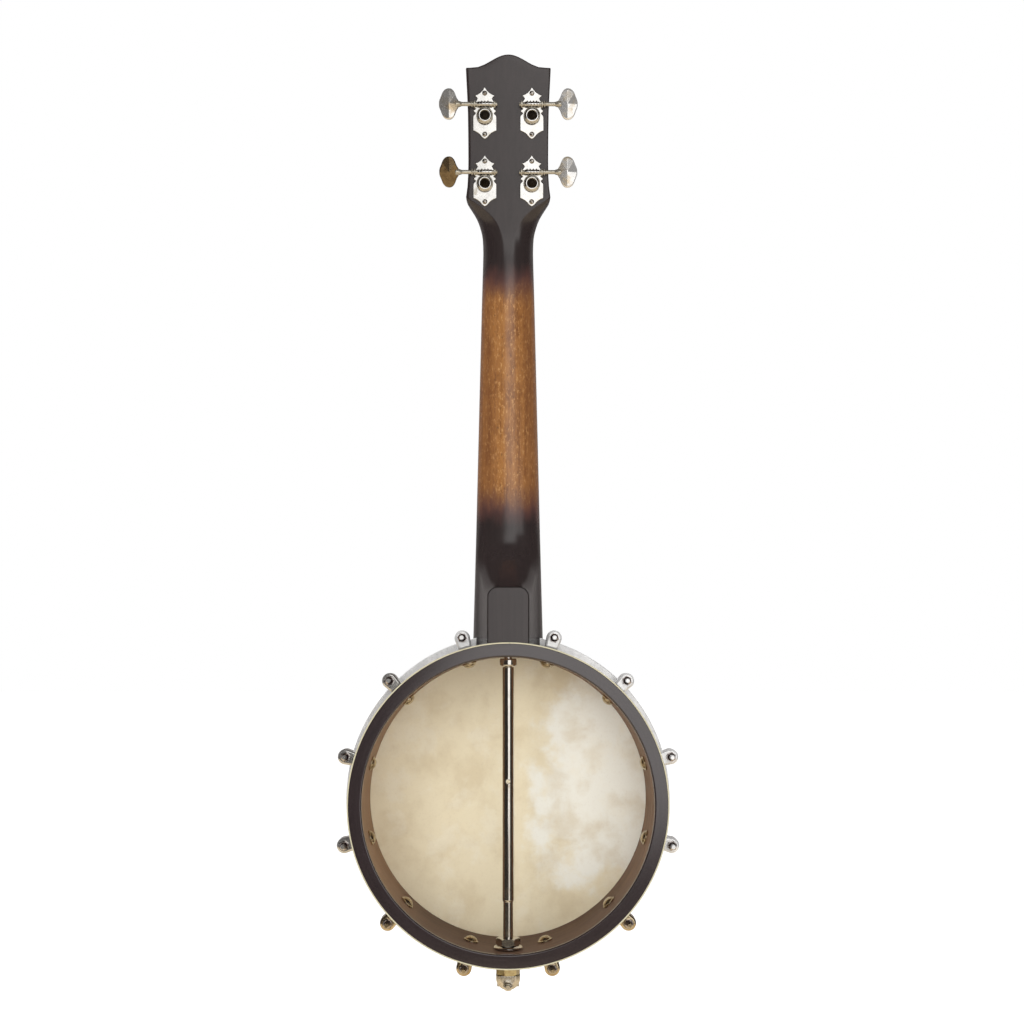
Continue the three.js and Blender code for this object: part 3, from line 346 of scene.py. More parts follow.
def worked(body: bmesh.types.BMesh, tools: Iterable[bmesh.types.BMesh],
           cut: Cut = Cut.AWAY) -> bmesh.types.BMesh:
    """Cuts tools away from a shape, or keeps what they share.

    Args:
        body: the shape that is worked on. It is used up.
        tools: the other shapes. They are used up.
        cut: how the tools work on the shape.

    Returns:
        The new shape.
    """
    collection = bpy.context.scene.collection

    def placed(shape: bmesh.types.BMesh, name: str) -> bpy.types.Object:
        """Puts a shape into the scene for a moment.

        Args:
            shape: the shape, used up.
            name: its name.

        Returns:
            Its object.
        """
        mesh = bpy.data.meshes.new(name)
        shape.to_mesh(mesh)
        shape.free()
        thing = bpy.data.objects.new(name, mesh)
        collection.objects.link(thing)
        return thing

    base = placed(body, "work_base")
    helpers = [placed(tool, "work_tool") for tool in tools]
    for helper in helpers:
        modifier = base.modifiers.new("work", "BOOLEAN")
        modifier.operation = cut.value
        modifier.solver = "EXACT"
        modifier.object = helper
    mesh = bpy.data.meshes.new_from_object(base.evaluated_get(bpy.context.evaluated_depsgraph_get()))
    result = bmesh.new()
    result.from_mesh(mesh)
    used = [base.data, mesh] + [helper.data for helper in helpers]
    for thing in [base, *helpers]:
        bpy.data.objects.remove(thing)
    for data in used:
        bpy.data.meshes.remove(data)
    return result


class Workpiece:
    """A mesh that finished shapes are added to, each with one of its finishes."""

    def __init__(self) -> None:
        """Starts with nothing on the bench."""
        self.mesh = bmesh.new()

    def add(self, shape: bmesh.types.BMesh, place: Matrix = IDENTITY, finish: int = 0) -> "Workpiece":
        """Adds a shape and uses it up.

        Args:
            shape: the shape.
            place: where it goes.
            finish: which of the piece's finishes it has.

        Returns:
            The workpiece itself.
        """
        shape.transform(place)
        if place.determinant() < 0:
            bmesh.ops.reverse_faces(shape, faces=shape.faces[:])
        for face in shape.faces:
            face.material_index = finish
        mesh = bpy.data.meshes.new("shape")
        shape.to_mesh(mesh)
        shape.free()
        self.mesh.from_mesh(mesh)
        bpy.data.meshes.remove(mesh)
        return self


# Finishes


def plug(tree: bpy.types.NodeTree, socket: bpy.types.NodeSocket, value: Any) -> None:
    """Links another node's output to an input, or sets the input's own value.

    Args:
        tree: the node tree.
        socket: the input.
        value: another node's output, a colour or a number.
    """
    if isinstance(value, bpy.types.NodeSocket):
        tree.links.new(value, socket)
    elif isinstance(value, tuple) and len(value) == 3 and socket.type == "RGBA":
        socket.default_value = (*value, 1.0)
    else:
        socket.default_value = value


def wired(tree: bpy.types.NodeTree, kind: str, inputs: dict[Any, Any], **settings: Any) -> bpy.types.Node:
    """Adds a node and fills its inputs.

    Args:
        tree: the node tree.
        kind: the node's type.
        inputs: what goes into each input, by its name or number.
        settings: the node's own settings.

    Returns:
        The node.
    """
    node = tree.nodes.new(kind)
    for name, value in settings.items():
        setattr(node, name, value)
    for key, value in inputs.items():
        plug(tree, node.inputs[key], value)
    return node


class Graph:
    """A material's nodes, with one short method for each kind that the finishes use."""

    def __init__(self, name: str) -> None:
        """Starts a material with a shader and the pot's millimetre coordinates.

        Args:
            name: its name.
        """
        self.material = bpy.data.materials.new(name)
        self.material.use_nodes = True
        self.tree = self.material.node_tree
        self.tree.nodes.clear()
        self.shader = wired(self.tree, "ShaderNodeBsdfPrincipled", {})
        wired(self.tree, "ShaderNodeOutputMaterial", {"Surface": self.shader.outputs["BSDF"]})
        self.coordinates = self.node("ShaderNodeTexCoord", {}, "Object")

    def node(self, kind: str, inputs: dict[Any, Any], out: Any = 0, **settings: Any) -> Any:
        """One of the outputs of a new node."""
        return wired(self.tree, kind, inputs, **settings).outputs[out]

    def surface(self, **values: Any) -> None:
        """Sets the shader's inputs; underscores stand for spaces."""
        for name, value in values.items():
            plug(self.tree, self.shader.inputs[name.replace("_", " ")], value)

    def mapped(self, scale: Sequence[float] = (1, 1, 1), turn: Sequence[float] = (0, 0, 0)) -> Any:
        """The pot's coordinates in millimetres, stretched and turned.

        Args:
            scale: factor on each axis, after the turn.
            turn: turn about each axis in degrees.

        Returns:
            The vector output.
        """
        origin = [-value / MM for value in Bench.origin]
        out = self.node("ShaderNodeMapping", {"Vector": self.coordinates, "Location": origin,
                                              "Scale": (1 / MM,) * 3}, vector_type="POINT")
        if tuple(turn) != (0, 0, 0):
            turns = [math.radians(value) for value in turn]
            out = self.node("ShaderNodeMapping", {"Vector": out, "Rotation": turns})
        if tuple(scale) != (1, 1, 1):
            out = self.node("ShaderNodeMapping", {"Vector": out, "Scale": scale})
        return out

    def noise(self, vector: Any, scale: float, detail: float = 3.0, rough: float = 0.5,
              swirl: float = 0.0) -> Any:
        """Cloudy noise, about 0.5 on average, of so many cells in a millimetre."""
        return self.node("ShaderNodeTexNoise", {"Vector": vector, "Scale": scale, "Detail": detail,
                                                "Roughness": rough, "Distortion": swirl}, "Fac")

    def cells(self, vector: Any, scale: float) -> Any:
        """Distance to the nearest of scattered points, so many in a millimetre."""
        return self.node("ShaderNodeTexVoronoi", {"Vector": vector, "Scale": scale}, "Distance")

    def span(self, value: Any, low: float, high: float, to_low: float = 0.0,
             to_high: float = 1.0) -> Any:
        """A smooth step from one value to another.

        Args:
            value: what is stepped.
            low: where the step starts.
            high: where it ends.
            to_low: value before the step.
            to_high: value after it.

        Returns:
            The stepped output.
        """
        ends = {"From Min": low, "From Max": high, "To Min": to_low, "To Max": to_high}
        return self.node("ShaderNodeMapRange", {"Value": value, **ends}, "Result",
                         interpolation_type="SMOOTHSTEP")

    def blend(self, share: Any, first: Any, second: Any) -> Any:
        """A colour between two colours, by the share of the second one."""
        return self.node("ShaderNodeMix", {"Factor": share, 6: first, 7: second}, 2, data_type="RGBA")

    def times(self, first: Any, second: Any) -> Any:
        """The product of two values."""
        return self.arithmetic("MULTIPLY", first, second)

    def plus(self, first: Any, second: Any) -> Any:
        """The sum of two values."""
        return self.arithmetic("ADD", first, second)

    def arithmetic(self, kind: str, first: Any, second: Any = 0.0) -> Any:
        """One step of arithmetic of a given kind."""
        return self.node("ShaderNodeMath", {0: first, 1: second}, operation=kind)

    def axes(self, vector: Any) -> tuple[Any, Any, Any]:
        """The three coordinates of a vector."""
        node = wired(self.tree, "ShaderNodeSeparateXYZ", {"Vector": vector})
        return node.outputs["X"], node.outputs["Y"], node.outputs["Z"]

    def vector(self, x: Any, y: Any, z: Any) -> Any:
        """A vector from three coordinates."""
        return self.node("ShaderNodeCombineXYZ", {"X": x, "Y": y, "Z": z}, "Vector")

    def relief(self, height: Any, depth: float, strength: float = 1.0) -> None:
        """Gives the surface a fine relief of a depth in millimetres."""
        self.surface(Normal=self.node("ShaderNodeBump", {"Height": height, "Distance": depth * MM,
                                                         "Strength": strength}, "Normal"))

    def clock_angle(self, vector: Any) -> tuple[Any, Any]:
        """Angle round the pot's axis and distance from it.

        Args:
            vector: the pot's coordinates.

        Returns:
            The angle in radians and the radius in millimetres.
        """
        x, _, z = self.axes(vector)
        angle = self.arithmetic("ARCTAN2", x, z)
        radius = self.arithmetic("SQRT", self.plus(self.times(x, x), self.times(z, z)))
        return angle, radius


@dataclass(frozen=True)
class Finish:
    """The look of one of the record's material slots."""

    name: str
    slot: str

    def paint(self, graph: Graph) -> None:
        """Builds the material's nodes."""
        raise NotImplementedError

    def material(self) -> bpy.types.Material:
        """The material, made when it is first used.

        Returns:
            The material.
        """
        held = bpy.data.materials.get(self.name)
        if held is None:
            graph = Graph(self.name)
            self.paint(graph)
            held = graph.material
        return held


@dataclass(frozen=True)
class Plating(Finish):
    """Polished plating with soft clouds, brassy wear and hairline marks."""

    colour: Colour = (0.80, 0.79, 0.76)
    worn: Colour = (0.62, 0.50, 0.30)
    wear: float = 0.25
    rough: float = 0.16
    cloud: float = 0.12
    metal: float = 1.0

    def paint(self, graph: Graph) -> None:
        """Clouds, wear and marks on a bare metal.

        Args:
            graph: the material's nodes.
        """
        place = graph.mapped()
        clouds = graph.noise(place, 0.16, 4.0, 0.55)
        worn = graph.span(graph.noise(place, self.cloud, 5.0, 0.6, 0.4), 0.62 - self.wear * 0.35,
                          0.80 - self.wear * 0.2)
        marks = graph.noise(graph.mapped((2.2, 0.25, 2.2), (20, 35, 10)), 1.2, 4.0, 0.6)
        spots = graph.span(graph.cells(place, 0.55), 0.10, 0.02)
        pits = graph.times(spots, graph.span(graph.noise(place, 0.08, 2.0), 0.52, 0.68))
        dull = tuple(value * 0.86 for value in self.colour)
        base = graph.blend(graph.span(clouds, 0.35, 0.7), dull, self.colour)
        base = graph.blend(graph.times(worn, 0.8), base, self.worn)
        base = graph.blend(graph.times(pits, 0.5), base, tuple(v * 0.4 for v in self.worn))
        rough = graph.plus(graph.span(marks, 0.35, 0.75, self.rough * 0.75, self.rough * 1.3),
                           graph.times(worn, 0.12))
        graph.surface(Base_Color=base, Metallic=self.metal, Roughness=rough)
        graph.relief(graph.plus(graph.times(marks, 0.5), clouds), 0.012, 0.15)


@dataclass(frozen=True)
class NeckLacquer(Finish):
    """Dark lacquer that fades to brown wood in the middle of the neck."""

    dark: Colour = (0.0235, 0.0165, 0.0160)
    edge: Colour = (0.085, 0.036, 0.030)
    brown: Colour = (0.318, 0.130, 0.030)
    deep: Colour = (0.180, 0.062, 0.013)
    rough: float = 0.24

    def paint(self, graph: Graph) -> None:
        """Burst, grain, flecks, the streak along the middle and painted shade on the flanks.

        Args:
            graph: the material's nodes.
        """
        place = graph.mapped()
        x, _, z = graph.axes(place)
        drift = graph.span(graph.noise(graph.mapped((1.0, 1.0, 0.35)), 0.16, 3.0), 0.3, 0.7, -2.6, 2.6)
        height = graph.plus(z, drift)
        half_open = graph.times(graph.span(height, 178.0, 196.0), graph.span(height, 362.0, 344.0))
        open_wood = graph.times(graph.span(height, 188.0, 210.0), graph.span(height, 352.0, 328.0))
        grain = graph.noise(graph.mapped((1.0, 1.0, 0.035)), 0.34, 5.0, 0.6, 0.3)
        blotch = graph.noise(graph.mapped((1.0, 1.0, 0.45)), 0.17, 4.0, 0.6)
        fine = graph.noise(graph.mapped((1.0, 1.0, 0.22)), 1.5, 4.0, 0.68)
        light = graph.span(graph.noise(graph.mapped((1.0, 1.0, 0.42)), 0.75, 4.0, 0.66), 0.53, 0.66)
        flecks = graph.span(graph.noise(graph.mapped((1.0, 1.0, 0.26), (0, 0, 40)), 1.15, 4.0, 0.66),
                            0.57, 0.70)
        wood = graph.blend(graph.span(graph.plus(graph.times(grain, 0.55),
                                                 graph.times(blotch, 0.45)), 0.38, 0.62),
                           self.deep, self.brown)
        wood = graph.blend(graph.span(fine, 0.38, 0.72, 0.0, 0.40), wood, (0.40, 0.185, 0.048))
        wood = graph.blend(graph.times(light, 0.62), wood, (0.56, 0.29, 0.095))
        wood = graph.blend(graph.times(flecks, 0.75), wood, (0.100, 0.038, 0.014))
        middle = graph.arithmetic("ABSOLUTE", graph.plus(x, graph.span(
            graph.noise(graph.mapped((1, 1, 0.35)), 0.06, 2.0), 0.3, 0.7, -2.2, 3.0)))
        streak = graph.times(graph.span(middle, 3.4, 0.8),
                             graph.span(graph.noise(graph.mapped((1, 1, 0.4)), 0.09, 3.0), 0.40, 0.62))
        wood = graph.blend(graph.times(streak, 0.22), wood, (0.120, 0.050, 0.036))
        # Painted shade: the wood darkens towards the neck's sides, standing in for the shade on its rounded
        # flanks.
        flank = graph.span(graph.arithmetic("ABSOLUTE", x), 5.0, 15.0)
        wood = graph.blend(graph.times(flank, 0.50), wood, (0.145, 0.056, 0.024))
        stain = graph.blend(graph.span(grain, 0.3, 0.7), self.dark, tuple(value * 1.2 for value in self.dark))
        base = graph.blend(half_open, stain, self.edge)
        base = graph.blend(open_wood, base, wood)
        dust = graph.noise(place, 0.9, 4.0, 0.6)
        graph.surface(Base_Color=base, Specular_IOR_Level=0.65,
                      Roughness=graph.span(dust, 0.3, 0.8, self.rough * 0.92, self.rough * 1.12))
        graph.relief(graph.plus(grain, graph.times(blotch, 0.5)), 0.03, 0.07)


@dataclass(frozen=True)
class RimLacquer(Finish):
    """Dark lacquer on the rim's back and outside, with brown bent wood inside."""

    dark: Colour = (0.0225, 0.0155, 0.0160)
    brown: Colour = (0.260, 0.150, 0.084)
    deep: Colour = (0.135, 0.076, 0.046)
    inner: float = 92.3
    rough: float = 0.14

    def paint(self, graph: Graph) -> None:
        """Grain that runs round the rim, darker towards its back edge, with painted light on the inner wall's
        left.

        Args:
            graph: the material's nodes.
        """
        place = graph.mapped()
        x, depth, _ = graph.axes(place)
        angle, radius = graph.clock_angle(place)
        lane = graph.vector(angle, graph.times(depth, 0.14), graph.times(radius, 0.2))
        grain = graph.noise(lane, 3.4, 6.0, 0.62, 0.25)
        fine = graph.noise(graph.vector(graph.times(angle, 3.0),
                                        graph.times(depth, 1.3), radius), 2.6, 4.0, 0.6)
        wood = graph.blend(graph.span(grain, 0.34, 0.68), self.deep, self.brown)
        wood = graph.blend(graph.span(fine, 0.40, 0.75, 0.0, 0.45), wood,
                           tuple(value * 1.25 for value in self.brown))
        low = graph.span(graph.arithmetic("ABSOLUTE", angle), 1.7, 2.6)
        wood = graph.blend(graph.times(low, 0.66), wood, (0.082, 0.050, 0.038))
        # Painted light: the inner wall grows lighter towards the left, where the light falls on it.
        wood = graph.blend(graph.span(x, -45.0, -92.0, 0.0, 0.6), wood, (0.37, 0.225, 0.13))
        inside = graph.span(radius, self.inner + 0.9, self.inner + 0.15)
        clear = graph.times(inside, graph.span(depth, 0.2, 4.5))
        stain = graph.blend(graph.span(grain, 0.3, 0.7), self.dark, tuple(value * 1.4 for value in self.dark))
        dust = graph.noise(place, 0.8, 4.0, 0.6)
        gloss = graph.span(dust, 0.3, 0.8, self.rough * 0.9, self.rough * 1.2)
        graph.surface(Base_Color=graph.blend(clear, stain, wood),
                      Specular_IOR_Level=graph.span(clear, 0.0, 1.0, 0.95, 0.12),
                      Roughness=graph.plus(gloss, graph.span(clear, 0.0, 1.0, 0.0, 0.42)))
        graph.relief(grain, 0.03, 0.12)


@dataclass(frozen=True)
class Celluloid(Finish):
    """Aged cream binding, a little yellow and stained along its edges."""

    colour: Colour = (0.60, 0.55, 0.38)
    stain: Colour = (0.40, 0.32, 0.19)

    def paint(self, graph: Graph) -> None:
        """Streaks along the strip with small stains.

        Args:
            graph: the material's nodes.
        """
        place = graph.mapped()
        angle, radius = graph.clock_angle(place)
        streaks = graph.noise(graph.vector(graph.times(angle, 6.0), radius, 0.0), 1.5, 4.0)
        stains = graph.span(graph.noise(place, 0.10, 4.0, 0.6), 0.55, 0.78)
        base = graph.blend(graph.span(streaks, 0.3, 0.7), tuple(v * 0.9 for v in self.colour), self.colour)
        base = graph.blend(graph.times(stains, 0.5), base, self.stain)
        graph.surface(Base_Color=base, Roughness=graph.span(streaks, 0.3, 0.7, 0.34, 0.46))
        graph.relief(streaks, 0.03, 0.4)


@dataclass(frozen=True)
class DrumSkin(Finish):
    """A hide: warm tan with a greyer patch to the right of the rod, partly painted light, and soft clouds."""

    tan: Colour = (0.90, 0.80, 0.565)
    pale: Colour = (0.985, 0.965, 0.85)
    cloud: Colour = (0.68, 0.55, 0.335)
    edge: float = 92.3

    def paint(self, graph: Graph) -> None:
        """Two tones with a soft border, the paler one partly painted light, clouds, pores and painted shade
        at the edge.

        Args:
            graph: the material's nodes.
        """
        place = graph.mapped()
        x, _, z = graph.axes(place)
        _, radius = graph.clock_angle(place)
        broad = graph.noise(place, 0.028, 4.0, 0.55)
        mottle = graph.noise(place, 0.085, 5.0, 0.6)
        # The paler, greyer patch right of the rod is partly the hide's own tone and partly painted light,
        # brightened where light falls on the skin's right side.
        across = graph.arithmetic("DIVIDE", graph.arithmetic("SUBTRACT", x, 66.0), 47.0)
        along = graph.arithmetic("DIVIDE", graph.arithmetic("SUBTRACT", z, 8.0), 66.0)
        reach = graph.arithmetic("SQRT", graph.plus(graph.times(across, across), graph.times(along, along)))
        reach = graph.plus(reach, graph.span(broad, 0.3, 0.7, -0.28, 0.28))
        reach = graph.plus(reach, graph.span(mottle, 0.3, 0.7, -0.12, 0.12))
        patch = graph.span(reach, 1.22, 0.74)
        base = graph.blend(patch, self.tan, self.pale)
        clouds = graph.span(graph.noise(place, 0.040, 4.0, 0.55, 0.15), 0.44, 0.70)
        base = graph.blend(graph.times(clouds, 0.46), base, self.cloud)
        light = graph.span(graph.noise(place, 0.055, 5.0, 0.6), 0.50, 0.66)
        base = graph.blend(graph.times(light, 0.35), base, (0.96, 0.90, 0.73))
        pores = graph.span(graph.noise(place, 0.55, 5.0, 0.7), 0.50, 0.72)
        base = graph.blend(graph.times(pores, 0.10), base, (0.45, 0.34, 0.21))
        # Painted shade: the hide darkens near the rim, where the rim's wall shades it.
        rim_shade = graph.span(radius, self.edge - 15.0, self.edge - 1.0)
        base = graph.blend(graph.times(rim_shade, 0.06), base, (0.56, 0.43, 0.265))
        graph.surface(Base_Color=base, Roughness=graph.span(mottle, 0.3, 0.7, 0.52, 0.66))
        graph.relief(graph.plus(mottle, graph.times(pores, 0.2)), 0.22, 0.4)


@dataclass(frozen=True)
class Timber(Finish):
    """Plain wood with grain along one axis."""

    light: Colour = (0.42, 0.27, 0.13)
    dark: Colour = (0.27, 0.15, 0.065)
    stretch: tuple[float, float, float] = (1.0, 1.0, 0.04)
    rough: float = 0.45

    def paint(self, graph: Graph) -> None:
        """Grain and pores.

        Args:
            graph: the material's nodes.
        """
        grain = graph.noise(graph.mapped(self.stretch), 0.9, 5.0, 0.6, 0.2)
        pores = graph.span(graph.noise(graph.mapped(self.stretch), 4.5, 3.0), 0.55, 0.72)
        base = graph.blend(graph.span(grain, 0.35, 0.68), self.dark, self.light)
        base = graph.blend(graph.times(pores, 0.5), base, tuple(v * 0.5 for v in self.dark))
        graph.surface(Base_Color=base, Roughness=graph.span(grain, 0.3, 0.7, self.rough, self.rough + 0.1))
        graph.relief(graph.arithmetic("SUBTRACT", grain, pores), 0.06, 0.5)


@dataclass(frozen=True)
class Bone(Finish):
    """Polished bone or clear nylon: pale with faint streaks."""

    colour: Colour = (0.74, 0.68, 0.53)
    shade: Colour = (0.60, 0.51, 0.36)
    rough: float = 0.32

    def paint(self, graph: Graph) -> None:
        """Faint streaks.

        Args:
            graph: the material's nodes.
        """
        streaks = graph.noise(graph.mapped((1.0, 0.3, 1.0)), 0.7, 4.0, 0.6)
        graph.surface(Base_Color=graph.blend(graph.span(streaks, 0.35, 0.75), self.shade, self.colour),
                      Roughness=graph.span(streaks, 0.3, 0.7, self.rough, self.rough + 0.12))
        graph.relief(streaks, 0.02, 0.4)


NECK_LACQUER = NeckLacquer("neck_lacquer_burst", "neck_lacquer")
RIM_LACQUER = RimLacquer("rim_lacquer_dark", "rim_lacquer")
BINDING = Celluloid("binding_cream", "rim_binding")
SKIN = DrumSkin("skin_tan", "drum_skin")
FLESH_BRASS = Plating("flesh_hoop_brass_old", "flesh_hoop_brass", (0.62, 0.47, 0.22),
                      (0.30, 0.20, 0.09), 0.5, 0.3)
HOOP_NICKEL = Plating("hoop_nickel_bright", "hoop_nickel", (0.97, 0.965, 0.955), (0.78, 0.74, 0.66),
                      0.10, 0.34, 0.06, 0.35)
BRACKET_NICKEL = Plating("bracket_nickel_bright", "bracket_nickel", (0.82, 0.81, 0.78),
                         (0.55, 0.44, 0.28), 0.30, 0.17, 0.10, 0.85)
# Painted light: a near-white, barely metallic copy of the bracket plating for the top and right, where the
# light falls.
BRACKET_LIT = Plating("bracket_nickel_painted_light", "bracket_nickel", (0.96, 0.955, 0.945),
                         (0.76, 0.70, 0.60), 0.12, 0.22, 0.10, 0.42)
ROD_CHROME = Plating("rod_chrome_worn", "rod_chrome", (0.70, 0.67, 0.62), (0.42, 0.34, 0.26),
                     0.25, 0.12, 0.08)
END_BRASS = Plating("end_nut_brass_worn", "end_nut_brass", (0.74, 0.62, 0.34), (0.28, 0.17, 0.08),
                    0.55, 0.18, 0.18)
TAIL_NICKEL = Plating("tailpiece_nickel_warm", "tailpiece_nickel", (0.84, 0.79, 0.70),
                      (0.66, 0.56, 0.42), 0.15, 0.24, 0.12)
TUNER_NICKEL = Plating("tuner_nickel_bright", "tuner_nickel", (0.80, 0.79, 0.765),
                       (0.62, 0.56, 0.44), 0.05, 0.16, 0.14)
TUNER_BRASS = Plating("tuner_brass_gear", "tuner_nickel", (0.62, 0.58, 0.49), (0.36, 0.30, 0.20),
                      0.4, 0.22, 0.2, 0.8)
SCREW_STEEL = Plating("tuner_screw_steel", "tuner_nickel", (0.50, 0.47, 0.43), (0.26, 0.20, 0.15),
                      0.5, 0.24, 0.3)
BOLT_BRASS = Plating("shoe_bolt_warm", "bracket_nickel", (0.62, 0.54, 0.40), (0.30, 0.22, 0.13),
                     0.6, 0.22, 0.25)
BUTTON_NICKEL = Plating("tuner_button_worn", "tuner_nickel", (0.88, 0.86, 0.82),
                        (0.52, 0.38, 0.20), 0.45, 0.14, 0.10, 0.84)
# Painted light: a lighter, hazier copy of the button plating for the right-hand buttons, where the light
# falls.
BUTTON_LIT = Plating("tuner_button_painted_light", "tuner_nickel", (0.90, 0.89, 0.87),
                        (0.70, 0.53, 0.28), 0.50, 0.18, 0.10, 0.74)
BUTTON_BRONZE = Plating("tuner_button_bare", "tuner_nickel", (0.27, 0.195, 0.105),
                        (0.13, 0.085, 0.045), 0.55, 0.16, 0.16, 0.85)
# Painted shade: near-black plating for the hole in the gear's cover and the screw inside it.
RECESS_SHADE = Plating("tuner_recess_painted_shade", "tuner_nickel", (0.035, 0.028, 0.022),
                      (0.02, 0.015, 0.01), 0.5, 0.5, 0.3)
# Painted shadow: near-black wood for the edges of the heel's cap.
HEEL_EDGE_SHADOW = Timber("heel_edge_painted_shadow", "neck_lacquer", (0.016, 0.011, 0.010), (0.009, 0.006, 0.006),
              (1.0, 1.0, 0.1), 0.6)
EBONY = Timber("fretboard_dark", "fretboard_wood", (0.060, 0.042, 0.034), (0.028, 0.019, 0.016),
               (1.0, 1.0, 0.05), 0.42)
MAPLE = Timber("bridge_maple_plain", "bridge_maple", (0.60, 0.41, 0.21), (0.45, 0.28, 0.13),
               (0.05, 1.0, 1.0), 0.45)
HOOK_NUT = Plating("hook_nut_tarnished", "bracket_nickel", (0.60, 0.54, 0.52), (0.34, 0.26, 0.22),
                   0.4, 0.14, 0.25)
LOWER_NICKEL = Plating("bracket_nickel_golden", "bracket_nickel", (0.78, 0.66, 0.46), (0.50, 0.36, 0.18),
                       0.4, 0.18, 0.10)
NUT_BONE = Bone("nut_bone_aged", "nut_bone")
NYLON = Bone("string_nylon_clear", "string_nylon", (0.80, 0.78, 0.70), (0.70, 0.66, 0.55), 0.25)


# The bench


class Bench:
    """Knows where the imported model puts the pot, and hands finished pieces over to it."""

    origin = Vector((0.0, 0.0, 0.0))

    def __init__(self, loaded: dict[str, Any]) -> None:
        """Reads bodies and the pot's place.
        """
        bodies = loaded["record"]["behaviour"]["bodies"]
        self.bodies = {node: body for body, nodes in bodies.items() for node in nodes}
        low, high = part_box("rim_binding")
        Bench.origin = Vector(((low.x + high.x) / 2, low.y, (low.z + high.z) / 2))
        self.to_part = Matrix.Translation(Bench.origin) @ Matrix.Scale(MM, 4)

    def deliver(self, name: str, work: Workpiece, finishes: Sequence[Finish], node: str,
                place: Matrix = IDENTITY, crease: float = 35.0, flat_first: bool = True) -> None:
        """Makes a piece's object, in place of its node.

        Args:
            name: the piece's name.
            work: its mesh in millimetres.
            finishes: its finishes, in the order of the workpiece's numbers.
            node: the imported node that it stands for.
            place: where the workpiece goes in the pot's frame.
            crease: edges sharper than this many degrees stay sharp.
            flat_first: whether large flat faces lead the shading.
        """
        work.mesh.transform(self.to_part @ place)
        mesh = bpy.data.meshes.new(name)
        work.mesh.to_mesh(mesh)
        work.mesh.free()
        mesh.shade_smooth()
        mesh.set_sharp_from_angle(angle=math.radians(crease))
        for finish in finishes:
            mesh.materials.append(finish.material())
        piece = bpy.data.objects.new(name, mesh)
        bpy.context.scene.collection.objects.link(piece)
        if flat_first:
            weighting = piece.modifiers.new("flat_faces_lead", "WEIGHTED_NORMAL")
            weighting.keep_sharp = True
        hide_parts(node)
        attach(piece, self.bodies[node])
        LOG.info("%s stands for %s, with %d faces", name, node, len(mesh.polygons))


# The pot


@dataclass
class Pot:
    """The bent rim, its binding, the skin and the two hoops that hold it."""

    outer: float = 101.6
    inner: float = 92.3
    depth: float = 63.5
    back_round: float = 1.1
    binding_thickness: float = 0.85
    binding_height: float = 5.0
    seam: float = 0.14
    skin_back: float = 63.8
    skin_front: float = 64.2
    steps: int = 288

    def build(self, bench: Bench) -> None:
        """Makes the pot's turned pieces.

        Args:
            bench: where the pieces are delivered.
        """
        self.rim(bench)
        self.binding(bench)
        self.skin(bench)
        self.hoops(bench)

    def rim(self, bench: Bench) -> None:
        """The wood rim with a seat for the binding.

        Args:
            bench: where the pieces are delivered.
        """
        seat = self.outer - self.binding_thickness - 0.05
        shape = turned([(self.inner, 0, self.back_round), (seat, 0, 0.25),
                        (seat, self.binding_height + 0.05, 0), (self.outer, self.binding_height + 0.05, 0.15),
                        (self.outer, self.depth, 0.8), (self.inner, self.depth, 0.8)], self.steps)
        bench.deliver("rim_wood", Workpiece().add(shape, POT_AXIS), [RIM_LACQUER], "rim", crease=40)

    def binding(self, bench: Bench) -> None:
        """The cream strip let into the back edge, whose ends meet at the top.

        Args:
            bench: where the pieces are delivered.
        """
        seat = self.outer - self.binding_thickness
        gap = self.seam / self.outer
        shape = turned([(seat, 0, 0.1), (self.outer, 0, 0.45),
                        (self.outer, self.binding_height, 0.12), (seat, self.binding_height, 0)],
                       self.steps, math.tau - gap)
        bench.deliver("rim_binding_strip", Workpiece().add(shape, POT_AXIS @ Matrix.Rotation(
            math.radians(-90) + gap / 2 + 0.008, 4, "Z")), [BINDING], "rim_binding", crease=40)

    def skin(self, bench: Bench) -> None:
        """The skin: flat head, collar over the rim and the edge turned up round the hoop.

        Args:
            bench: where the pieces are delivered.
        """
        shape = turned([(0, self.skin_front, 0), (102.3, self.skin_front, 0.9), (102.3, 55.0, 0.2),
                        (104.9, 55.0, 0.2), (104.9, 58.8, 0.1), (105.3, 58.8, 0.1), (105.3, 54.6, 0.5),
                        (101.9, 54.6, 0.2), (101.9, self.skin_back, 0.5), (40, self.skin_back, 0),
                        (0, self.skin_back, 0)], self.steps)
        bench.deliver("drum_skin_head", Workpiece().add(shape, POT_AXIS), [SKIN], "drum_head", crease=45)

    def hoops(self, bench: Bench) -> None:
        """The flesh hoop and the tension hoop with its pressing flange and back lip.

        Args:
            bench: where the pieces are delivered.
        """
        flesh = turned([(102.6, 55.3, 0.5), (104.6, 55.3, 0.5), (104.6, 58.8, 0.5), (102.6, 58.8, 0.5)],
                       self.steps)
        bench.deliver("flesh_hoop_ring", Workpiece().add(flesh, POT_AXIS), [FLESH_BRASS], "flesh_hoop")
        hoop = turned([(102.1, 50.3, 0.1), (107.1, 50.2, 0.7), (107.1, 61.7, 0.6),
                       (102.6, 61.7, 0.5),
                       (102.6, 59.1, 0.3), (105.6, 59.1, 0.2), (105.6, 52.4, 0.2), (102.1, 52.2, 0.3)],
                      self.steps)
        bench.deliver("tension_hoop_ring", Workpiece().add(hoop, POT_AXIS), [HOOP_NICKEL],
                      "tension_hoop", crease=50)


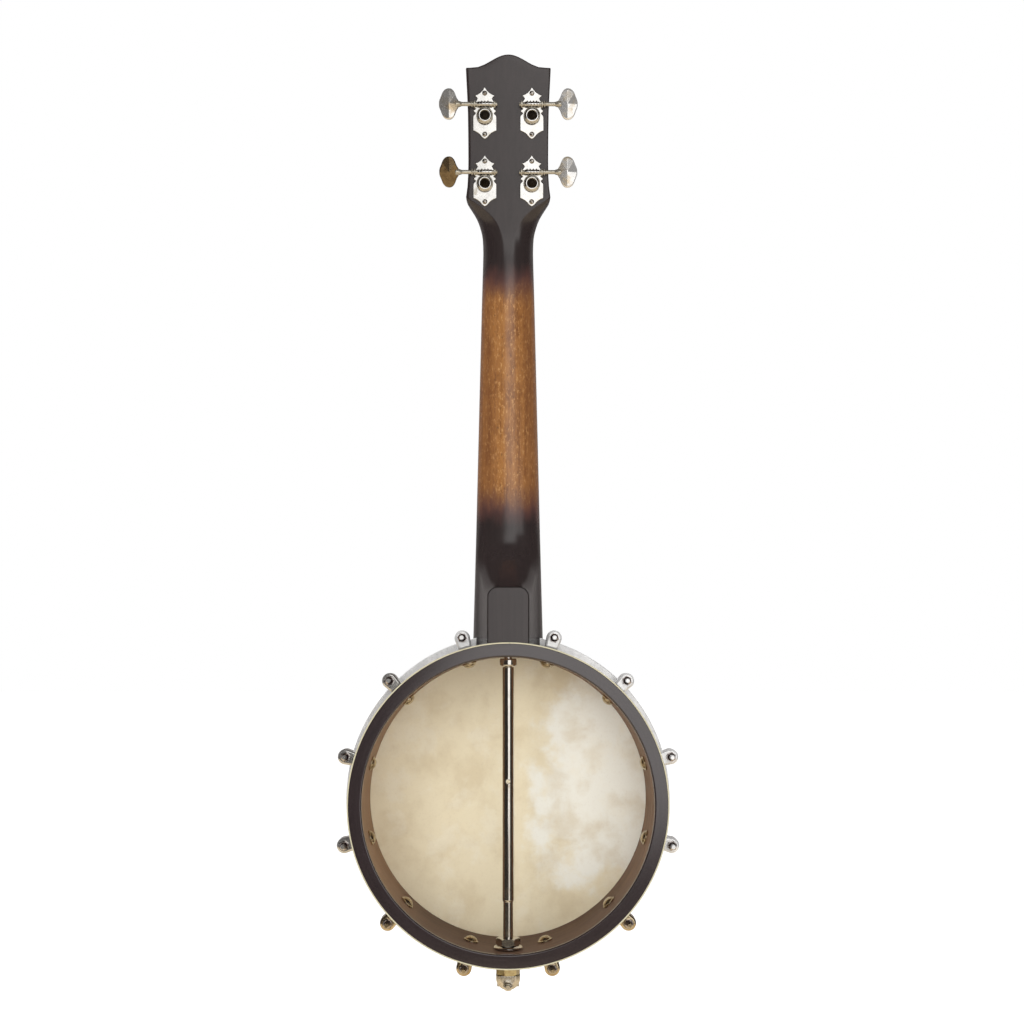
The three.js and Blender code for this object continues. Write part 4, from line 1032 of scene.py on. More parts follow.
@dataclass
class Brackets:
    """The twelve shoes bolted to the rim, and the hooks that pull the hoop down."""

    count: int = 12
    first: float = math.radians(15)
    pair_spread: float = math.radians(1)
    hook_radius: float = 109.0
    wire: float = 1.6
    shoe_back: float = 24.0
    shoe_front: float = 36.0
    bolt_place: float = 29.5
    golden_below: float = -0.4
    # Clock angles between which the brackets take the copy with painted light.
    lit_to: float = math.radians(110)
    lit_from: float = math.radians(330)

    def plating(self, angle: float) -> Plating:
        """The finish at a clock angle: golden at the bottom, worn at the left, and at the top and right a
        near-white copy that paints the light falling there.

        Args:
            angle: the bracket's clock angle.

        Returns:
            The bracket's plating.
        """
        if math.cos(angle) < self.golden_below:
            return LOWER_NICKEL
        return BRACKET_LIT if angle < self.lit_to or angle > self.lit_from else BRACKET_NICKEL

    def angles(self) -> list[float]:
        """Clock angles of the brackets, with the pair at the neck spread a little.

        Returns:
            One angle for each bracket.
        """
        even = [self.first + math.tau * index / self.count for index in range(self.count)]
        even[0] += self.pair_spread
        even[-1] -= self.pair_spread
        return even

    def build(self, bench: Bench) -> None:
        """Makes each shoe and hook.

        Args:
            bench: where the pieces are delivered.
        """
        for index, angle in enumerate(self.angles()):
            number = f"{index + 1:02d}"
            plating = self.plating(angle)
            bench.deliver(f"shoe_{number}", self.shoe(), [plating, BOLT_BRASS], f"bracket_shoe_{number}",
                          clock(angle), crease=40)
            bench.deliver(f"hook_{number}", self.hook(index), [plating, HOOK_NUT],
                          f"tension_hook_{number}", clock(angle), crease=32)

    def shoe(self) -> Workpiece:
        """A shoe with its bolt, the washer inside the rim and the domed head.

        Returns:
            The workpiece, for the bracket at the top.
        """
        root, radius = 4.2, 4.95
        middle = self.hook_radius
        outline = [(-root, RIM_CLEAR), (root, RIM_CLEAR), (root + 0.25, 104.0)]
        outline += [(radius * math.cos(turn), middle + radius * math.sin(turn))
                    for turn in (math.radians(-12 + 204 * step / 22) for step in range(23))]
        outline += [(-root - 0.25, 104.0)]
        body = prism(outline, -self.shoe_front, -self.shoe_back, 1.5, 1.15, 5)
        work = Workpiece().add(body, PLAN)
        inward = shift(0, self.bolt_place, 0) @ Matrix.Rotation(math.pi, 4, "X")
        head = turned([(0, -88.8, 0), (1.6, -88.85, 0.4), (3.5, -89.9, 0.7), (4.3, -91.2, 0.3),
                       (4.8, -91.35, 0.3), (4.8, -92.22, 0), (0, -92.22, 0)], 40)
        work.add(head, inward, 1)
        work.add(bar(2.1, -101.9, -92.0, steps=16), inward)
        return work

    def hook(self, index: int) -> Workpiece:
        """A hook: threaded end, nut, straight wire and the bent claw on the hoop.

        Args:
            index: which bracket it is on, which turns its nut.

        Returns:
            The workpiece, for the bracket at the top.
        """
        radius, wire = self.hook_radius, self.wire
        claw = 63.6
        path = [Vector((0, 24.2, radius)), Vector((0, 40, radius)), Vector((0, claw - 2, radius))]
        path += [Vector((0, claw - 2 + 2 * math.sin(t), radius - 2 + 2 * math.cos(t)))
                 for t in (math.radians(15 * step) for step in range(1, 7))]
        path += [Vector((0, claw, radius - 3.2)), Vector((0, claw, radius - 4.0))]
        work = Workpiece().add(tube(path, wire, 20, 0.5))
        thread = [(0, 14.5, 0), (1.15, 14.5, 0)]
        for turn in range(14):
            along = 14.9 + turn * 0.7
            thread += [(wire - 0.32, along, 0), (wire - 0.05, along + 0.35, 0)]
        thread += [(wire, 24.8, 0), (0, 24.8, 0)]
        place = shift(0, 0, radius) @ POT_AXIS
        work.add(turned(thread, 20), place)
        spin = place @ Matrix.Rotation(index * 0.7, 4, "Z")
        work.add(hex_nut(5.6, 21.6, 23.75), spin, 1)
        dome = [(2.7 * math.sin(turn), 21.0 - 2.9 * math.cos(turn), 0)
                for turn in (math.radians(7.5 * step) for step in range(13))]
        work.add(turned(dome + [(2.7, 21.8, 0), (0, 21.8, 0)], 32), place, 1)
        return work


@dataclass
class Rod:
    """The metal rod across the pot, with its collar, nut, washer and the nut outside."""

    place: float = 18.5
    radius: float = 3.75
    thin: float = 3.2
    stud: float = 2.5
    pin_height: float = 13.0

    def build(self, bench: Bench) -> None:
        """Makes the rod's five pieces.

        Args:
            bench: where the pieces are delivered.
        """
        along = shift(0, self.place, 0)
        rod = turned([(0, -111.8, 0), (self.stud, -111.8, 0.4), (self.stud, -91.9, 0),
                      (self.thin, -91.8, 0.2), (self.thin, -62.7, 0), (self.thin + 0.1, -62.4, 0),
                      (self.radius, -61.6, 0.25), (self.radius, 86.0, 0.5), (self.stud, 86.1, 0),
                      (self.stud, 121.8, 0.5), (0, 121.8, 0)], 64)
        drill = turned([(0, -6, 0), (1.7, -6, 0), (1.7, -3.6, 0), (1.1, -3.0, 0), (1.1, 3.0, 0),
                        (1.7, 3.6, 0), (1.7, 6, 0), (0, 6, 0)], 24)
        drill.transform(shift(0, 0, self.pin_height) @ POT_AXIS)
        bench.deliver("rod_bar", Workpiece().add(worked(rod, [drill])), [ROD_CHROME],
                      "coordinator_rod", along, crease=30)
        collar = turned([(2.7, 86.3, 0.1), (5.1, 86.3, 0.5), (5.5, 87.3, 0.3), (5.5, 90.6, 0.3),
                         (5.1, 91.45, 0.2), (2.7, 91.45, 0)], 64)
        bench.deliver("rod_collar_ring", Workpiece().add(collar), [ROD_CHROME], "rod_collar", along)
        washer = turned([(3.4, -91.7, 0), (8.8, -91.7, 0.3), (9.45, -91.0, 0.3), (8.9, -90.2, 0.4),
                         (7.2, -89.55, 0.4), (3.4, -89.5, 0)], 64)
        bench.deliver("rod_washer_flange", Workpiece().add(washer), [ROD_CHROME], "rod_washer", along)
        inner = worked(hex_nut(13.5, -89.5, -85.0), [bar(3.35, -95, -80)])
        bench.deliver("rod_nut_hex", Workpiece().add(inner), [ROD_CHROME], "rod_nut", along)
        outer = worked(hex_nut(13.3, -107.7, -101.9, math.radians(12)), [bar(2.7, -115, -95)])
        bench.deliver("end_nut_hex", Workpiece().add(outer), [END_BRASS], "end_nut", along)


@dataclass
class Tail:
    """The lug on the rod's end and the tailpiece that it anchors."""

    lug_width: float = 15.3
    lug_top: float = -107.8
    lug_end: float = -117.0
    bolt_place: float = -113.3
    lug_back: float = 12.5
    lug_front: float = 24.5
    lug_round: float = 3.6
    width: float = 34.0
    leg_outer: float = -111.3
    plate_front: float = 68.4
    top: float = -82.3

    def build(self, bench: Bench) -> None:
        """Makes the lug and the tailpiece."""
        self.lug(bench)
        self.tailpiece(bench)

    def lug(self, bench: Bench) -> None:
        """A round-ended lug, cross-drilled for the bolt.

        Args:
            bench: where the pieces are delivered.
        """
        half = self.lug_width / 2
        middle = self.lug_end + half
        outline = [(half, self.lug_top + 3), (-half, self.lug_top + 3)]
        outline += [(half * math.cos(turn), middle + half * math.sin(turn))
                    for turn in (math.radians(180 + 180 * step / 28) for step in range(29))]
        body = prism(outline, -self.lug_front, -self.lug_back, self.lug_round, self.lug_round, 8)
        bore = bar(2.1, -30, -5)
        bore.transform(shift(0, self.bolt_place, 0))
        above = box(30, 10, 30)
        above.transform(shift(0, self.lug_top + 5, -18.5))
        bench.deliver("tail_lug", Workpiece().add(worked(body, [bore, above]), PLAN), [TAIL_NICKEL],
                      "tailpiece_hanger", crease=30)

    def tailpiece(self, bench: Bench) -> None:
        """The plate over the skin, its bent leg and foot, the string lip, and the bolt.

        Args:
            bench: where the pieces are delivered.
        """
        half = self.width / 2
        front, thick = self.plate_front, 1.6
        slots = [24.0 * (index / 3 - 0.5) for index in range(4)]
        outline = [(7.2, self.leg_outer + 0.4), (7.2, -106.5), (8.4, -102.0), (half - 3.2, -95.4),
                   (half, -91.5), (half, self.top), (-half, self.top), (-half, -91.5),
                   (-half + 3.2, -95.4), (-8.4, -102.0), (-7.2, -106.5), (-7.2, self.leg_outer + 0.4)]
        plate = prism(outline, -front, thick - front, 0.35, 0.35)
        tools = []
        for across in slots:
            slot = box(2.2, 5.0, 8.0)
            slot.transform(shift(across, self.top - 2.6 - 2.5, -front))
            tools.append(slot)
        work = Workpiece().add(worked(plate, tools), PLAN)
        lip = prism([(-half, 0), (half, 0), (half, 2.6), (half - 0.6, 3.2), (-half + 0.6, 3.2),
                     (-half, 2.6)], 0, thick, 0.3, 0.3)
        work.add(lip, Matrix(((1, 0, 0, 0), (0, 1, 0, front - 1.2), (0, 0, 1, self.top - thick - 0.02),
                              (0, 0, 0, 1))))
        leg = [Vector((0, front - 0.9, self.leg_outer + 3.2)), Vector((0, front - 1.0, self.leg_outer + 1.9)),
               Vector((0, front - 1.7, self.leg_outer + 1.2)), Vector((0, front - 3.0, self.leg_outer + 1.0)),
               Vector((0, 27.6, self.leg_outer + 1.0)), Vector((0, 26.4, self.leg_outer + 0.6)),
               Vector((0, 25.95, self.leg_outer - 0.5)), Vector((0, 25.9, self.leg_outer - 2.0)),
               Vector((0, 25.9, -116.6))]
        work.add(self.strap(leg, 14.0, 1.9))
        bolt = turned([(0, 5.2, 0), (1.3, 5.2, 0), (1.75, 5.7, 0.1), (1.75, 27.0, 0), (3.2, 27.0, 0.2),
                       (3.0, 28.4, 0.6), (0, 28.8, 0)], 28)
        down = shift(0, 0, self.bolt_place) @ POT_AXIS
        work.add(bolt, down)
        work.add(hex_nut(5.6, 9.6, 12.2), down)
        work.add(turned([(1.7, 6.8, 0.2), (2.2, 6.9, 0.5), (2.65, 8.0, 0.5), (2.7, 9.7, 0), (1.7, 9.7, 0)],
                        32), down)
        bench.deliver("tailpiece_plate", work, [TAIL_NICKEL], "tailpiece", crease=32)

    def strap(self, path: Sequence[Vector], width: float, thick: float) -> bmesh.types.BMesh:
        """A flat strap along a path in the middle plane.

        Args:
            path: points of its middle line.
            width: width across.
            thick: thickness.

        Returns:
            A closed shape.
        """
        rings = []
        for index, point in enumerate(path):
            ahead = (path[min(index + 1, len(path) - 1)] - path[max(index - 1, 0)]).normalized()
            out = ahead.cross(Vector((1, 0, 0)))
            half, deep, soft = width / 2, thick / 2, 0.35
            corners = [(half - soft, deep), (half, deep - soft), (half, soft - deep),
                       (half - soft, -deep), (soft - half, -deep), (-half, soft - deep),
                       (-half, deep - soft), (soft - half, deep)]
            rings.append([point + Vector((x, 0, 0)) + out * y for x, y in corners])
        return lofted(rings)


# The neck


@dataclass
class Neck:
    """The neck: shaft, heel, flare and headstock in one, and what is fixed to it."""

    nut_place: float = 60.1
    nut_height: float = 378.0
    tilt: float = math.radians(1.67)
    head_tilt: float = math.radians(11)
    board: float = 5.0
    board_length: float = 269.9
    scale: float = 432.0
    frets: int = 16
    dots: tuple[int, ...] = (5, 7, 10, 12, 15)
    nut_half: float = 17.0
    pot_half: float = 22.4
    nut_depth: float = 13.7
    pot_depth: float = 17.2
    length: float = 276.4
    fullness: float = 2.25
    cap_face: float = 3.55
    cap_half: float = 13.3
    cap_top: float = 137.0
    cap_corner: float = 6.6
    heel_root_half: float = 21.6
    heel_depth: float = 57.0
    heel_reach: float = 57.5
    blend: float = 9.0
    head_thick: float = 13.0
    shoulder: float = 114.9
    bump: float = 8.7
    bump_half: float = 24.0
    flank_steps: int = 34
    flat_steps: int = 10
    front_steps: int = 24
    bend_steps: int = 14
    post_across: float = 15.9
    post_upper: float = 82.9
    post_lower: float = 38.1

    def __post_init__(self) -> None:
        """Works out the frames on the fretboard's top and on the headstock's front."""
        self.frame = shift(0, self.nut_place, self.nut_height) @ Matrix.Rotation(
            math.pi / 2 + self.tilt, 4, "X")
        self.head_frame = self.frame @ shift(0, 0, 5.3) @ Matrix.Rotation(self.head_tilt, 4, "X")
        # Height above the nut, half-width, flat half-width, flank's start depth, two exponents.
        self.flare = [(-4.0, 17.25, 1.0, 0.0, 2.1, 2.25), (-1.0, 17.4, 2.3, 0.0, 2.0, 2.25),
                      (1.9, 17.6, 3.4, 0.0, 1.85, 2.25), (4.5, 18.0, 4.4, 0.0, 1.7, 2.25),
                      (7.0, 18.6, 5.4, 0.0, 1.55, 2.25), (9.7, 19.4, 6.5, 0.0, 1.45, 2.25),
                      (12.4, 20.35, 7.9, 0.0, 1.35, 2.3), (15.1, 21.55, 9.9, 0.4, 1.3, 2.4),
                      (17.8, 23.05, 12.5, 1.2, 1.3, 2.4), (20.5, 24.8, 15.6, 2.6, 1.4, 2.3),
                      (23.2, 26.6, 19.2, 4.8, 1.5, 2.2), (25.2, 27.8, 22.3, 7.2, 1.7, 2.1),
                      (27.0, 28.4, 25.2, 9.8, 1.9, 2.0), (29.2, 28.7, 27.5, 12.0, 2.0, 2.0)]
        # Height above the pot's middle and what the shaft's half-width gains there.
        self.spread = [(88.0, 1.25), (117.0, 1.15), (137.0, 1.0), (177.0, 0.75), (224.0, 0.6),
                       (279.0, 0.43), (334.0, 0.23), (362.0, 0.0)]
        # Height above the nut and half-width of the headstock's sides.
        self.sides = [(29.2, 28.7), (31.5, 28.4), (36.5, 27.7), (44.0, 27.25), (52.0, 27.05),
                      (70.0, 27.1), (86.0, 27.3), (98.0, 27.8), (106.0, 28.2), (114.9, 28.6)]

    def seats(self) -> list[Matrix]:
        """Frames on the headstock's back at the four posts.

        Returns:
            Upper left, upper right, lower left and lower right.
        """
        return [self.head_frame @ shift(side.value * self.post_across, level, self.head_thick)
                for level in (self.post_upper, self.post_lower) for side in Side]

    def wood_top(self, height: float) -> float:
        """Place of the wood under the fretboard at a height."""
        return self.nut_place + math.tan(self.tilt) * (self.nut_height - height) - self.board - 0.05

    def heel_width(self, share: float) -> float:
        """Half-width of the heel at a share of its depth from the cap."""
        return mix(self.cap_half, self.heel_root_half, share ** 1.3)

    def in_heel(self, across: float, depth: float, height: float) -> bool:
        """Whether a point lies in the heel.

        Args:
            across: distance from the middle plane.
            depth: distance in front of the cap.
            height: height above the pot's middle.

        Returns:
            True inside.
        """
        if depth < 0:
            return False
        share = min(depth / self.heel_depth, 1.0)
        half = self.heel_width(share)
        top = self.cap_top + self.heel_reach * (1 - (1 - share ** 1.5) ** (2 / 3))
        corner = mix(self.cap_corner, half * 0.98, share ** 0.4)
        if height > top or across > half:
            return False
        over, past = height - (top - corner), across - (half - corner)
        return over <= 0 or past <= 0 or over * over + past * past <= corner * corner

    def heel_foot(self, height: float) -> Point:
        """Half-width and depth of the heel's far edge at a height.

        Args:
            height: height above the pot's middle.

        Returns:
            Half-width of that edge and its distance in front of the cap.
        """
        if height <= self.cap_top:
            over = height - (self.cap_top - self.cap_corner)
            if over <= 0:
                return self.cap_half, 0.0
            return (self.cap_half - self.cap_corner
                    + math.sqrt(max(self.cap_corner ** 2 - over ** 2, 0.0)), 0.0)
        reach = min((height - self.cap_top) / self.heel_reach, 1.0)
        return self.cap_half - self.cap_corner, self.heel_depth * (1 - (1 - reach) ** 1.5) ** (2 / 3)

    def directions(self, half: float, knee: Point, foot: Point) -> list[float]:
        """Angles of one side's samples, with one on the edge of the flat.

        Args:
            half: half-width at the front.
            knee: a point on the flank that the samples pass.
            foot: the edge of the flat.

        Returns:
            Angles from the side towards the back.
        """
        points = [Vector((half, 0.0)), Vector(knee), Vector(foot)]
        lengths = [(b - a).length for a, b in zip(points, points[1:])]
        angles = []
        for step in range(self.flank_steps + 1):
            along = sum(lengths) * step / self.flank_steps
            if along <= lengths[0]:
                spot = points[0].lerp(points[1], along / lengths[0])
            else:
                spot = points[1].lerp(points[2], min((along - lengths[0]) / lengths[1], 1.0))
            angles.append(math.atan2(spot.y, spot.x))
        last = angles[-1]
        angles.append(mix(last, math.pi / 2, 0.012))
        angles += [mix(last, math.pi / 2, step / self.flat_steps) for step in range(1, self.flat_steps + 1)]
        return angles

    def ring(self, half: float, angles: Sequence[float], reach: Callable[[float], float],
             place: Callable[[float, float], Vector]) -> list[Vector]:
        """One cross-section as a ring of points.

        Args:
            half: half-width at the front.
            angles: directions of one side's samples.
            reach: distance of the surface in a direction.
            place: turns a distance across and a depth into a point.

        Returns:
            The ring: right side, back, left side, front.
        """
        halves = [(reach(angle) * math.cos(angle), reach(angle) * math.sin(angle)) for angle in angles]
        right = [place(x, d) for x, d in halves]
        left = [place(-x, d) for x, d in reversed(halves[:-1])]
        front = [place(half * (step * 2 / self.front_steps - 0.96), 0.0) for step in range(self.front_steps)]
        return right + left + front

    def shaft_ring(self, height: float) -> list[Vector]:
        """A ring of the shaft, with the heel grown into it.

        Args:
            height: height above the pot's middle.

        Returns:
            The ring.
        """
        down = self.nut_height - height
        half = mix(self.nut_half, self.pot_half, down / self.length) + table_at(self.spread, height)[0]
        depth = mix(self.nut_depth, self.pot_depth, down / 285.0) + 0.25
        top = self.wood_top(height)
        foot_half, foot_depth = self.heel_foot(height)
        deep = top - self.cap_face - foot_depth
        foot = (mix(foot_half, 1.6, ramp(height, 176.0, 330.0)), max(deep, depth))
        knee = (mix(half * 0.93, 20.3, ramp(height, 190, 160)), depth * 0.62)

        def shaft(angle: float) -> float:
            """Distance of the plain shaft's surface.

            Args:
                angle: direction of the sample.

            Returns:
                The distance in millimetres.
            """
            wide = abs(math.cos(angle) / half) ** self.fullness
            high = abs(math.sin(angle) / depth) ** self.fullness
            return (wide + high) ** (-1 / self.fullness)

        def reach(angle: float) -> float:
            """Distance of the surface, blended where heel and shaft meet.

            Args:
                angle: direction of the sample.

            Returns:
                The distance in millimetres.
            """
            plain = shaft(angle)
            limit = (top - self.cap_face) / max(math.sin(angle), 0.001)
            low, high = 0.0, min(limit, 90.0)
            cosine, sine = math.cos(angle), math.sin(angle)
            if self.in_heel(high * cosine * 0.9999, top - high * sine * 0.9999 - self.cap_face, height):
                low = high
            for _ in range(26):
                middle = (low + high) / 2
                if self.in_heel(middle * cosine, top - middle * sine - self.cap_face, height):
                    low = middle
                else:
                    high = middle
            gap = max(self.blend - abs(plain - low), 0.0) / self.blend
            return max(plain, low) + gap * gap * self.blend / 4 * ramp(sine, 0.1, 0.5)

        return self.ring(half, self.directions(half, knee, foot), reach,
                         lambda x, d: Vector((x, top - d, height)))

    def head_ring(self, half: float, flat: float, start: float, powers: Point, thick: float,
                  height: Callable[[float], float]) -> list[Vector]:
        """A ring of the flare or the headstock.

        Args:
            half: half-width.
            flat: half-width of the flat back.
            start: depth where the flank starts to turn in.
            powers: the flank's two exponents.
            thick: depth of the flat back.
            height: height above the nut at a place across.

        Returns:
            The ring.
        """
        def reach(angle: float) -> float:
            """Distance of the surface.

            Args:
                angle: direction of the sample.

            Returns:
                The distance in millimetres.
            """
            cosine, sine = math.cos(angle), math.sin(angle)
            low, high = 0.0, min(thick / max(sine, 0.0001), half / max(cosine, 0.0001))
            for _ in range(30):
                middle = (low + high) / 2
                across = max(middle * cosine - flat, 0.0) / (half - flat)
                deep = max(middle * sine - start, 0.0) / (thick - start)
                if across ** powers[0] + deep ** powers[1] <= 1:
                    low = middle
                else:
                    high = middle
            return low

        knee = (half, max(start, thick * 0.35))
        return self.ring(half, self.directions(half, knee, (flat, thick)), reach,
                         lambda x, d: self.head_frame @ Vector((x, height(x), d)))

    def flare_ring(self, level: float) -> list[Vector]:
        """A ring of the flare at a height above the nut."""
        half, flat, start, *powers = table_at(self.flare, level)
        return self.head_ring(half, flat, start, (powers[0], powers[1]), self.head_thick, lambda x: level)

    def bend(self, low: float, high: float) -> list[list[Vector]]:
        """Rings between the shaft and the flare, whose backs follow one smooth curve.

        Args:
            low: height of the last plain ring of the shaft.
            high: height above the nut of the first plain ring of the flare.

        Returns:
            The rings, with the two plain ones left out.
        """
        first, last = self.shaft_ring(low), self.flare_ring(high)
        reach = self.nut_height + high - low
        leave = [(b - a) * reach / 2 for a, b in zip(self.shaft_ring(low - 2), first)]
        arrive = [(b - a) * reach / 2 for a, b in zip(last, self.flare_ring(high + 2))]
        deepest = max(abs(point.y - first[-1].y) for point in first)
        rings = []
        for step in range(1, self.bend_steps):
            t = step / self.bend_steps
            height = low + reach * t
            plain = (self.shaft_ring(height) if height < self.nut_height - 7.0
                     else self.flare_ring(height - self.nut_height))
            ring = []
            for index, point in enumerate(plain):
                curve = (first[index] * (2 * t ** 3 - 3 * t ** 2 + 1)
                         + leave[index] * (t ** 3 - 2 * t ** 2 + t)
                         + last[index] * (3 * t ** 2 - 2 * t ** 3)
                         + arrive[index] * (t ** 3 - t ** 2))
                depth = abs(first[index].y - first[-1].y) / deepest
                ring.append(point.lerp(curve, ramp(depth, 0.05, 0.35)))
            rings.append(ring)
        return rings

    def top_edge(self, across: float) -> float:
        """How far the headstock's end rises above its shoulders at a place across.

        Args:
            across: distance from the middle plane.

        Returns:
            The rise in millimetres.
        """
        if abs(across) > self.bump_half:
            return 0.0
        return self.bump * (1 + math.cos(math.pi * across / self.bump_half)) / 2

    def heights(self) -> list[float]:
        """Heights of the shaft's rings, closer together at the heel.

        Returns:
            The heights in millimetres.
        """
        steps = [(88.0, 126.0, 19), (126.0, 136.4, 13), (136.4, 138.4, 8), (138.4, 150.0, 10),
                 (150.0, 198.0, 28), (198.0, 350.0, 26)]
        return [mix(low, high, step / count) for low, high, count in steps for step in range(count)] + [350.0]

    def body(self) -> bmesh.types.BMesh:
        """The whole neck, cut to the pot, with holes for the tuner posts.

        Returns:
            A closed shape.
        """
        rings = [self.shaft_ring(height) for height in self.heights()]
        rings += self.bend(350.0, 7.0)
        rings += [self.flare_ring(row[0]) for row in self.flare if row[0] > 6.9]
        thick, soft = self.head_thick, 1.0
        for step in range(1, 25):
            level = mix(29.2, self.shoulder - soft, step / 24)
            half = table_at(self.sides, level)[0]
            lift = ramp(level, 84.0, self.shoulder - soft)
            rings.append(self.head_ring(half, half - soft, thick - soft, (2.0, 2.0), thick,
                                        lambda x, level=level, lift=lift: level + lift * self.top_edge(x)))
        half = self.sides[-1][1]
        for step in range(1, 5):
            turn = math.radians(22.5 * step)
            level = self.shoulder - soft + soft * math.sin(turn)
            sunk = soft * (1 - math.cos(turn))
            rings.append(self.head_ring(half - sunk * 0.6, half - soft - sunk * 0.6, thick - soft - sunk,
                                        (2.0, 2.0), thick - sunk,
                                        lambda x, level=level: level + self.top_edge(x)))
        shape = lofted(rings)
        ends = [face for face in shape.faces if len(face.verts) > 8]
        bmesh.ops.triangulate(shape, faces=ends, quad_method="BEAUTY", ngon_method="BEAUTY")
        rim_cut = bar(RIM_CLEAR, -5, 130, steps=192)
        rim_cut.transform(POT_AXIS)
        hoop_cut = bar(HOOP_CLEAR, 49.9, 130, steps=192)
        hoop_cut.transform(POT_AXIS)
        pocket = bar(2.8, 90, 124, steps=16)
        pocket.transform(shift(0, 18.5, 0))
        tools = [rim_cut, hoop_cut, pocket]
        for seat in self.seats():
            hole = bar(4.5, -16, 3, steps=32)
            hole.transform(seat)
            tools.append(hole)
        return worked(shape, tools)

    def build(self, bench: Bench) -> None:
        """Makes the neck, its heel cap, the fretboard, the nut and the bridge.

        Args:
            bench: where the pieces are delivered.
        """
        bench.deliver("neck_wood", Workpiece().add(self.body()), [NECK_LACQUER], "neck", crease=30,
                      flat_first=False)
        self.heel_cap(bench)
        self.fretboard(bench)
        self.nut(bench)
        self.bridge(bench)

    def heel_cap(self, bench: Bench) -> None:
        """The thin plate on the end of the heel, its edges painted dark as a shadow line.

        Args:
            bench: where the pieces are delivered.
        """
        half, top, corner = self.cap_half + 0.1, self.cap_top + 0.1, self.cap_corner
        outline = [(-half, 100.0), (half, 100.0)]
        for side in (1, -1):
            turns = [step / 12 * math.pi / 2 for step in range(13)]
            turns = turns if side > 0 else turns[::-1]
            outline += [(side * (half - corner * (1 - math.cos(turn))),
                         top - corner * (1 - math.sin(turn))) for turn in turns]
        plate = prism(outline, -self.cap_face - 0.05, -2.0, 0.75)
        rim_cut = bar(RIM_CLEAR, -30, 30, steps=192)
        work = Workpiece().add(worked(plate, [rim_cut]), PLAN)
        # Painted shadow: faces that don't face the back are near-black, standing in for the shadow line round
        # the heel's end.
        for face in work.mesh.faces:
            face.material_index = 0 if abs(face.normal.y) > 0.98 else 1
        bench.deliver("heel_cap", work, [NECK_LACQUER, HEEL_EDGE_SHADOW], "neck", crease=30)

    def board_half(self, down: float) -> float:
        """Half-width of the fretboard at a distance down from the nut."""
        return mix(self.nut_half, self.pot_half, down / self.length)

    def fret_place(self, number: float) -> float:
        """How far a fret lies below the nut."""
        return self.scale * (1 - 2 ** (-number / 12))

    def fretboard(self, bench: Bench) -> None:
        """The board with its frets and dots.

        Args:
            bench: where the pieces are delivered.
        """
        length = self.board_length
        end = self.board_half(length)
        board = prism([(-end, -length), (end, -length), (self.nut_half, 0), (-self.nut_half, 0)],
                      0, self.board, 0.0, 0.7)
        work = Workpiece().add(board)
        for number in range(1, self.frets + 1):
            down = self.fret_place(number)
            half = self.board_half(down) - 0.4
            wire = turned([(0, -half, 0), (1.1, -half, 0.6), (1.1, half, 0.6), (0, half, 0)], 16)
            wire.transform(shift(0, -down, 0.1) @ Matrix.Diagonal((1, 1, 0.9, 1)) @ Matrix.Rotation(
                math.pi / 2, 4, "Y"))
            work.add(wire, finish=1)
        for number in self.dots:
            down = (self.fret_place(number) + self.fret_place(number - 1)) / 2
            for across in ((-6.5, 6.5) if number == 12 else (0.0,)):
                dot = bar(3.0, -0.06, 0.6, 0.03, 0, 32)
                work.add(dot, shift(across, -down, 0), 2)
        bench.deliver("fretboard_with_frets", work, [EBONY, TUNER_NICKEL, NUT_BONE], "fretboard",
                      self.frame, crease=35)

    def nut(self, bench: Bench) -> None:
        """The string nut with its four slots.

        Args:
            bench: where the pieces are delivered.
        """
        body = box(2 * self.nut_half, 4.9, 8.4, 0.5)
        body.transform(shift(0, 2.8, 2.2))
        tools = []
        for index in range(4):
            slot = turned([(0, -5, 0), (0.75, -5, 0), (0.75, 5, 0), (0, 5, 0)], 16)
            slot.transform(shift(Strings.nut_span * (index / 3 - 0.5), 2.8, -1.9) @ POT_AXIS)
            tools.append(slot)
        bench.deliver("nut_bone_slotted", Workpiece().add(worked(body, tools)), [NUT_BONE],
                      "string_nut", self.frame, crease=32)

    def bridge(self, bench: Bench) -> None:
        """The arched bridge on its three feet, thinner towards the top.

        Args:
            bench: where the pieces are delivered.
        """
        half, high, arch = 31.0, 12.4, 6.45
        outline = [(-half, 0), (-20, 0), (-16.8, arch - 1.2), (-14.5, arch), (-10, arch), (-7.7, arch - 1.2),
                   (-5.5, 0), (5.5, 0), (7.7, arch - 1.2), (10, arch), (14.5, arch), (16.8, arch - 1.2),
                   (20, 0), (half, 0), (half, 4.3), (26.7, high)]
        for across in (20.5, 6.83, -6.83, -20.5):
            outline += [(across + 0.8, high), (across + 0.45, high - 0.8), (across - 0.45, high - 0.8),
                        (across - 0.8, high)]
        outline += [(-26.7, high), (-half, 4.3)]
        shape = prism(outline, -3.7, 3.7, 0.3, 0.3, 2)
        for vert in shape.verts:
            vert.co.z *= mix(1.0, 2.6 / 7.5, min(max((vert.co.y - 3.0) / (high - 3.0), 0.0), 1.0))
        stand = Matrix(((1, 0, 0, 0), (0, 1, 0, 64.22), (0, 0, 1, -54.0), (0, 0, 0, 1)))
        bench.deliver("bridge_arched", Workpiece().add(shape), [MAPLE], "bridge", stand, crease=30)


# The strings


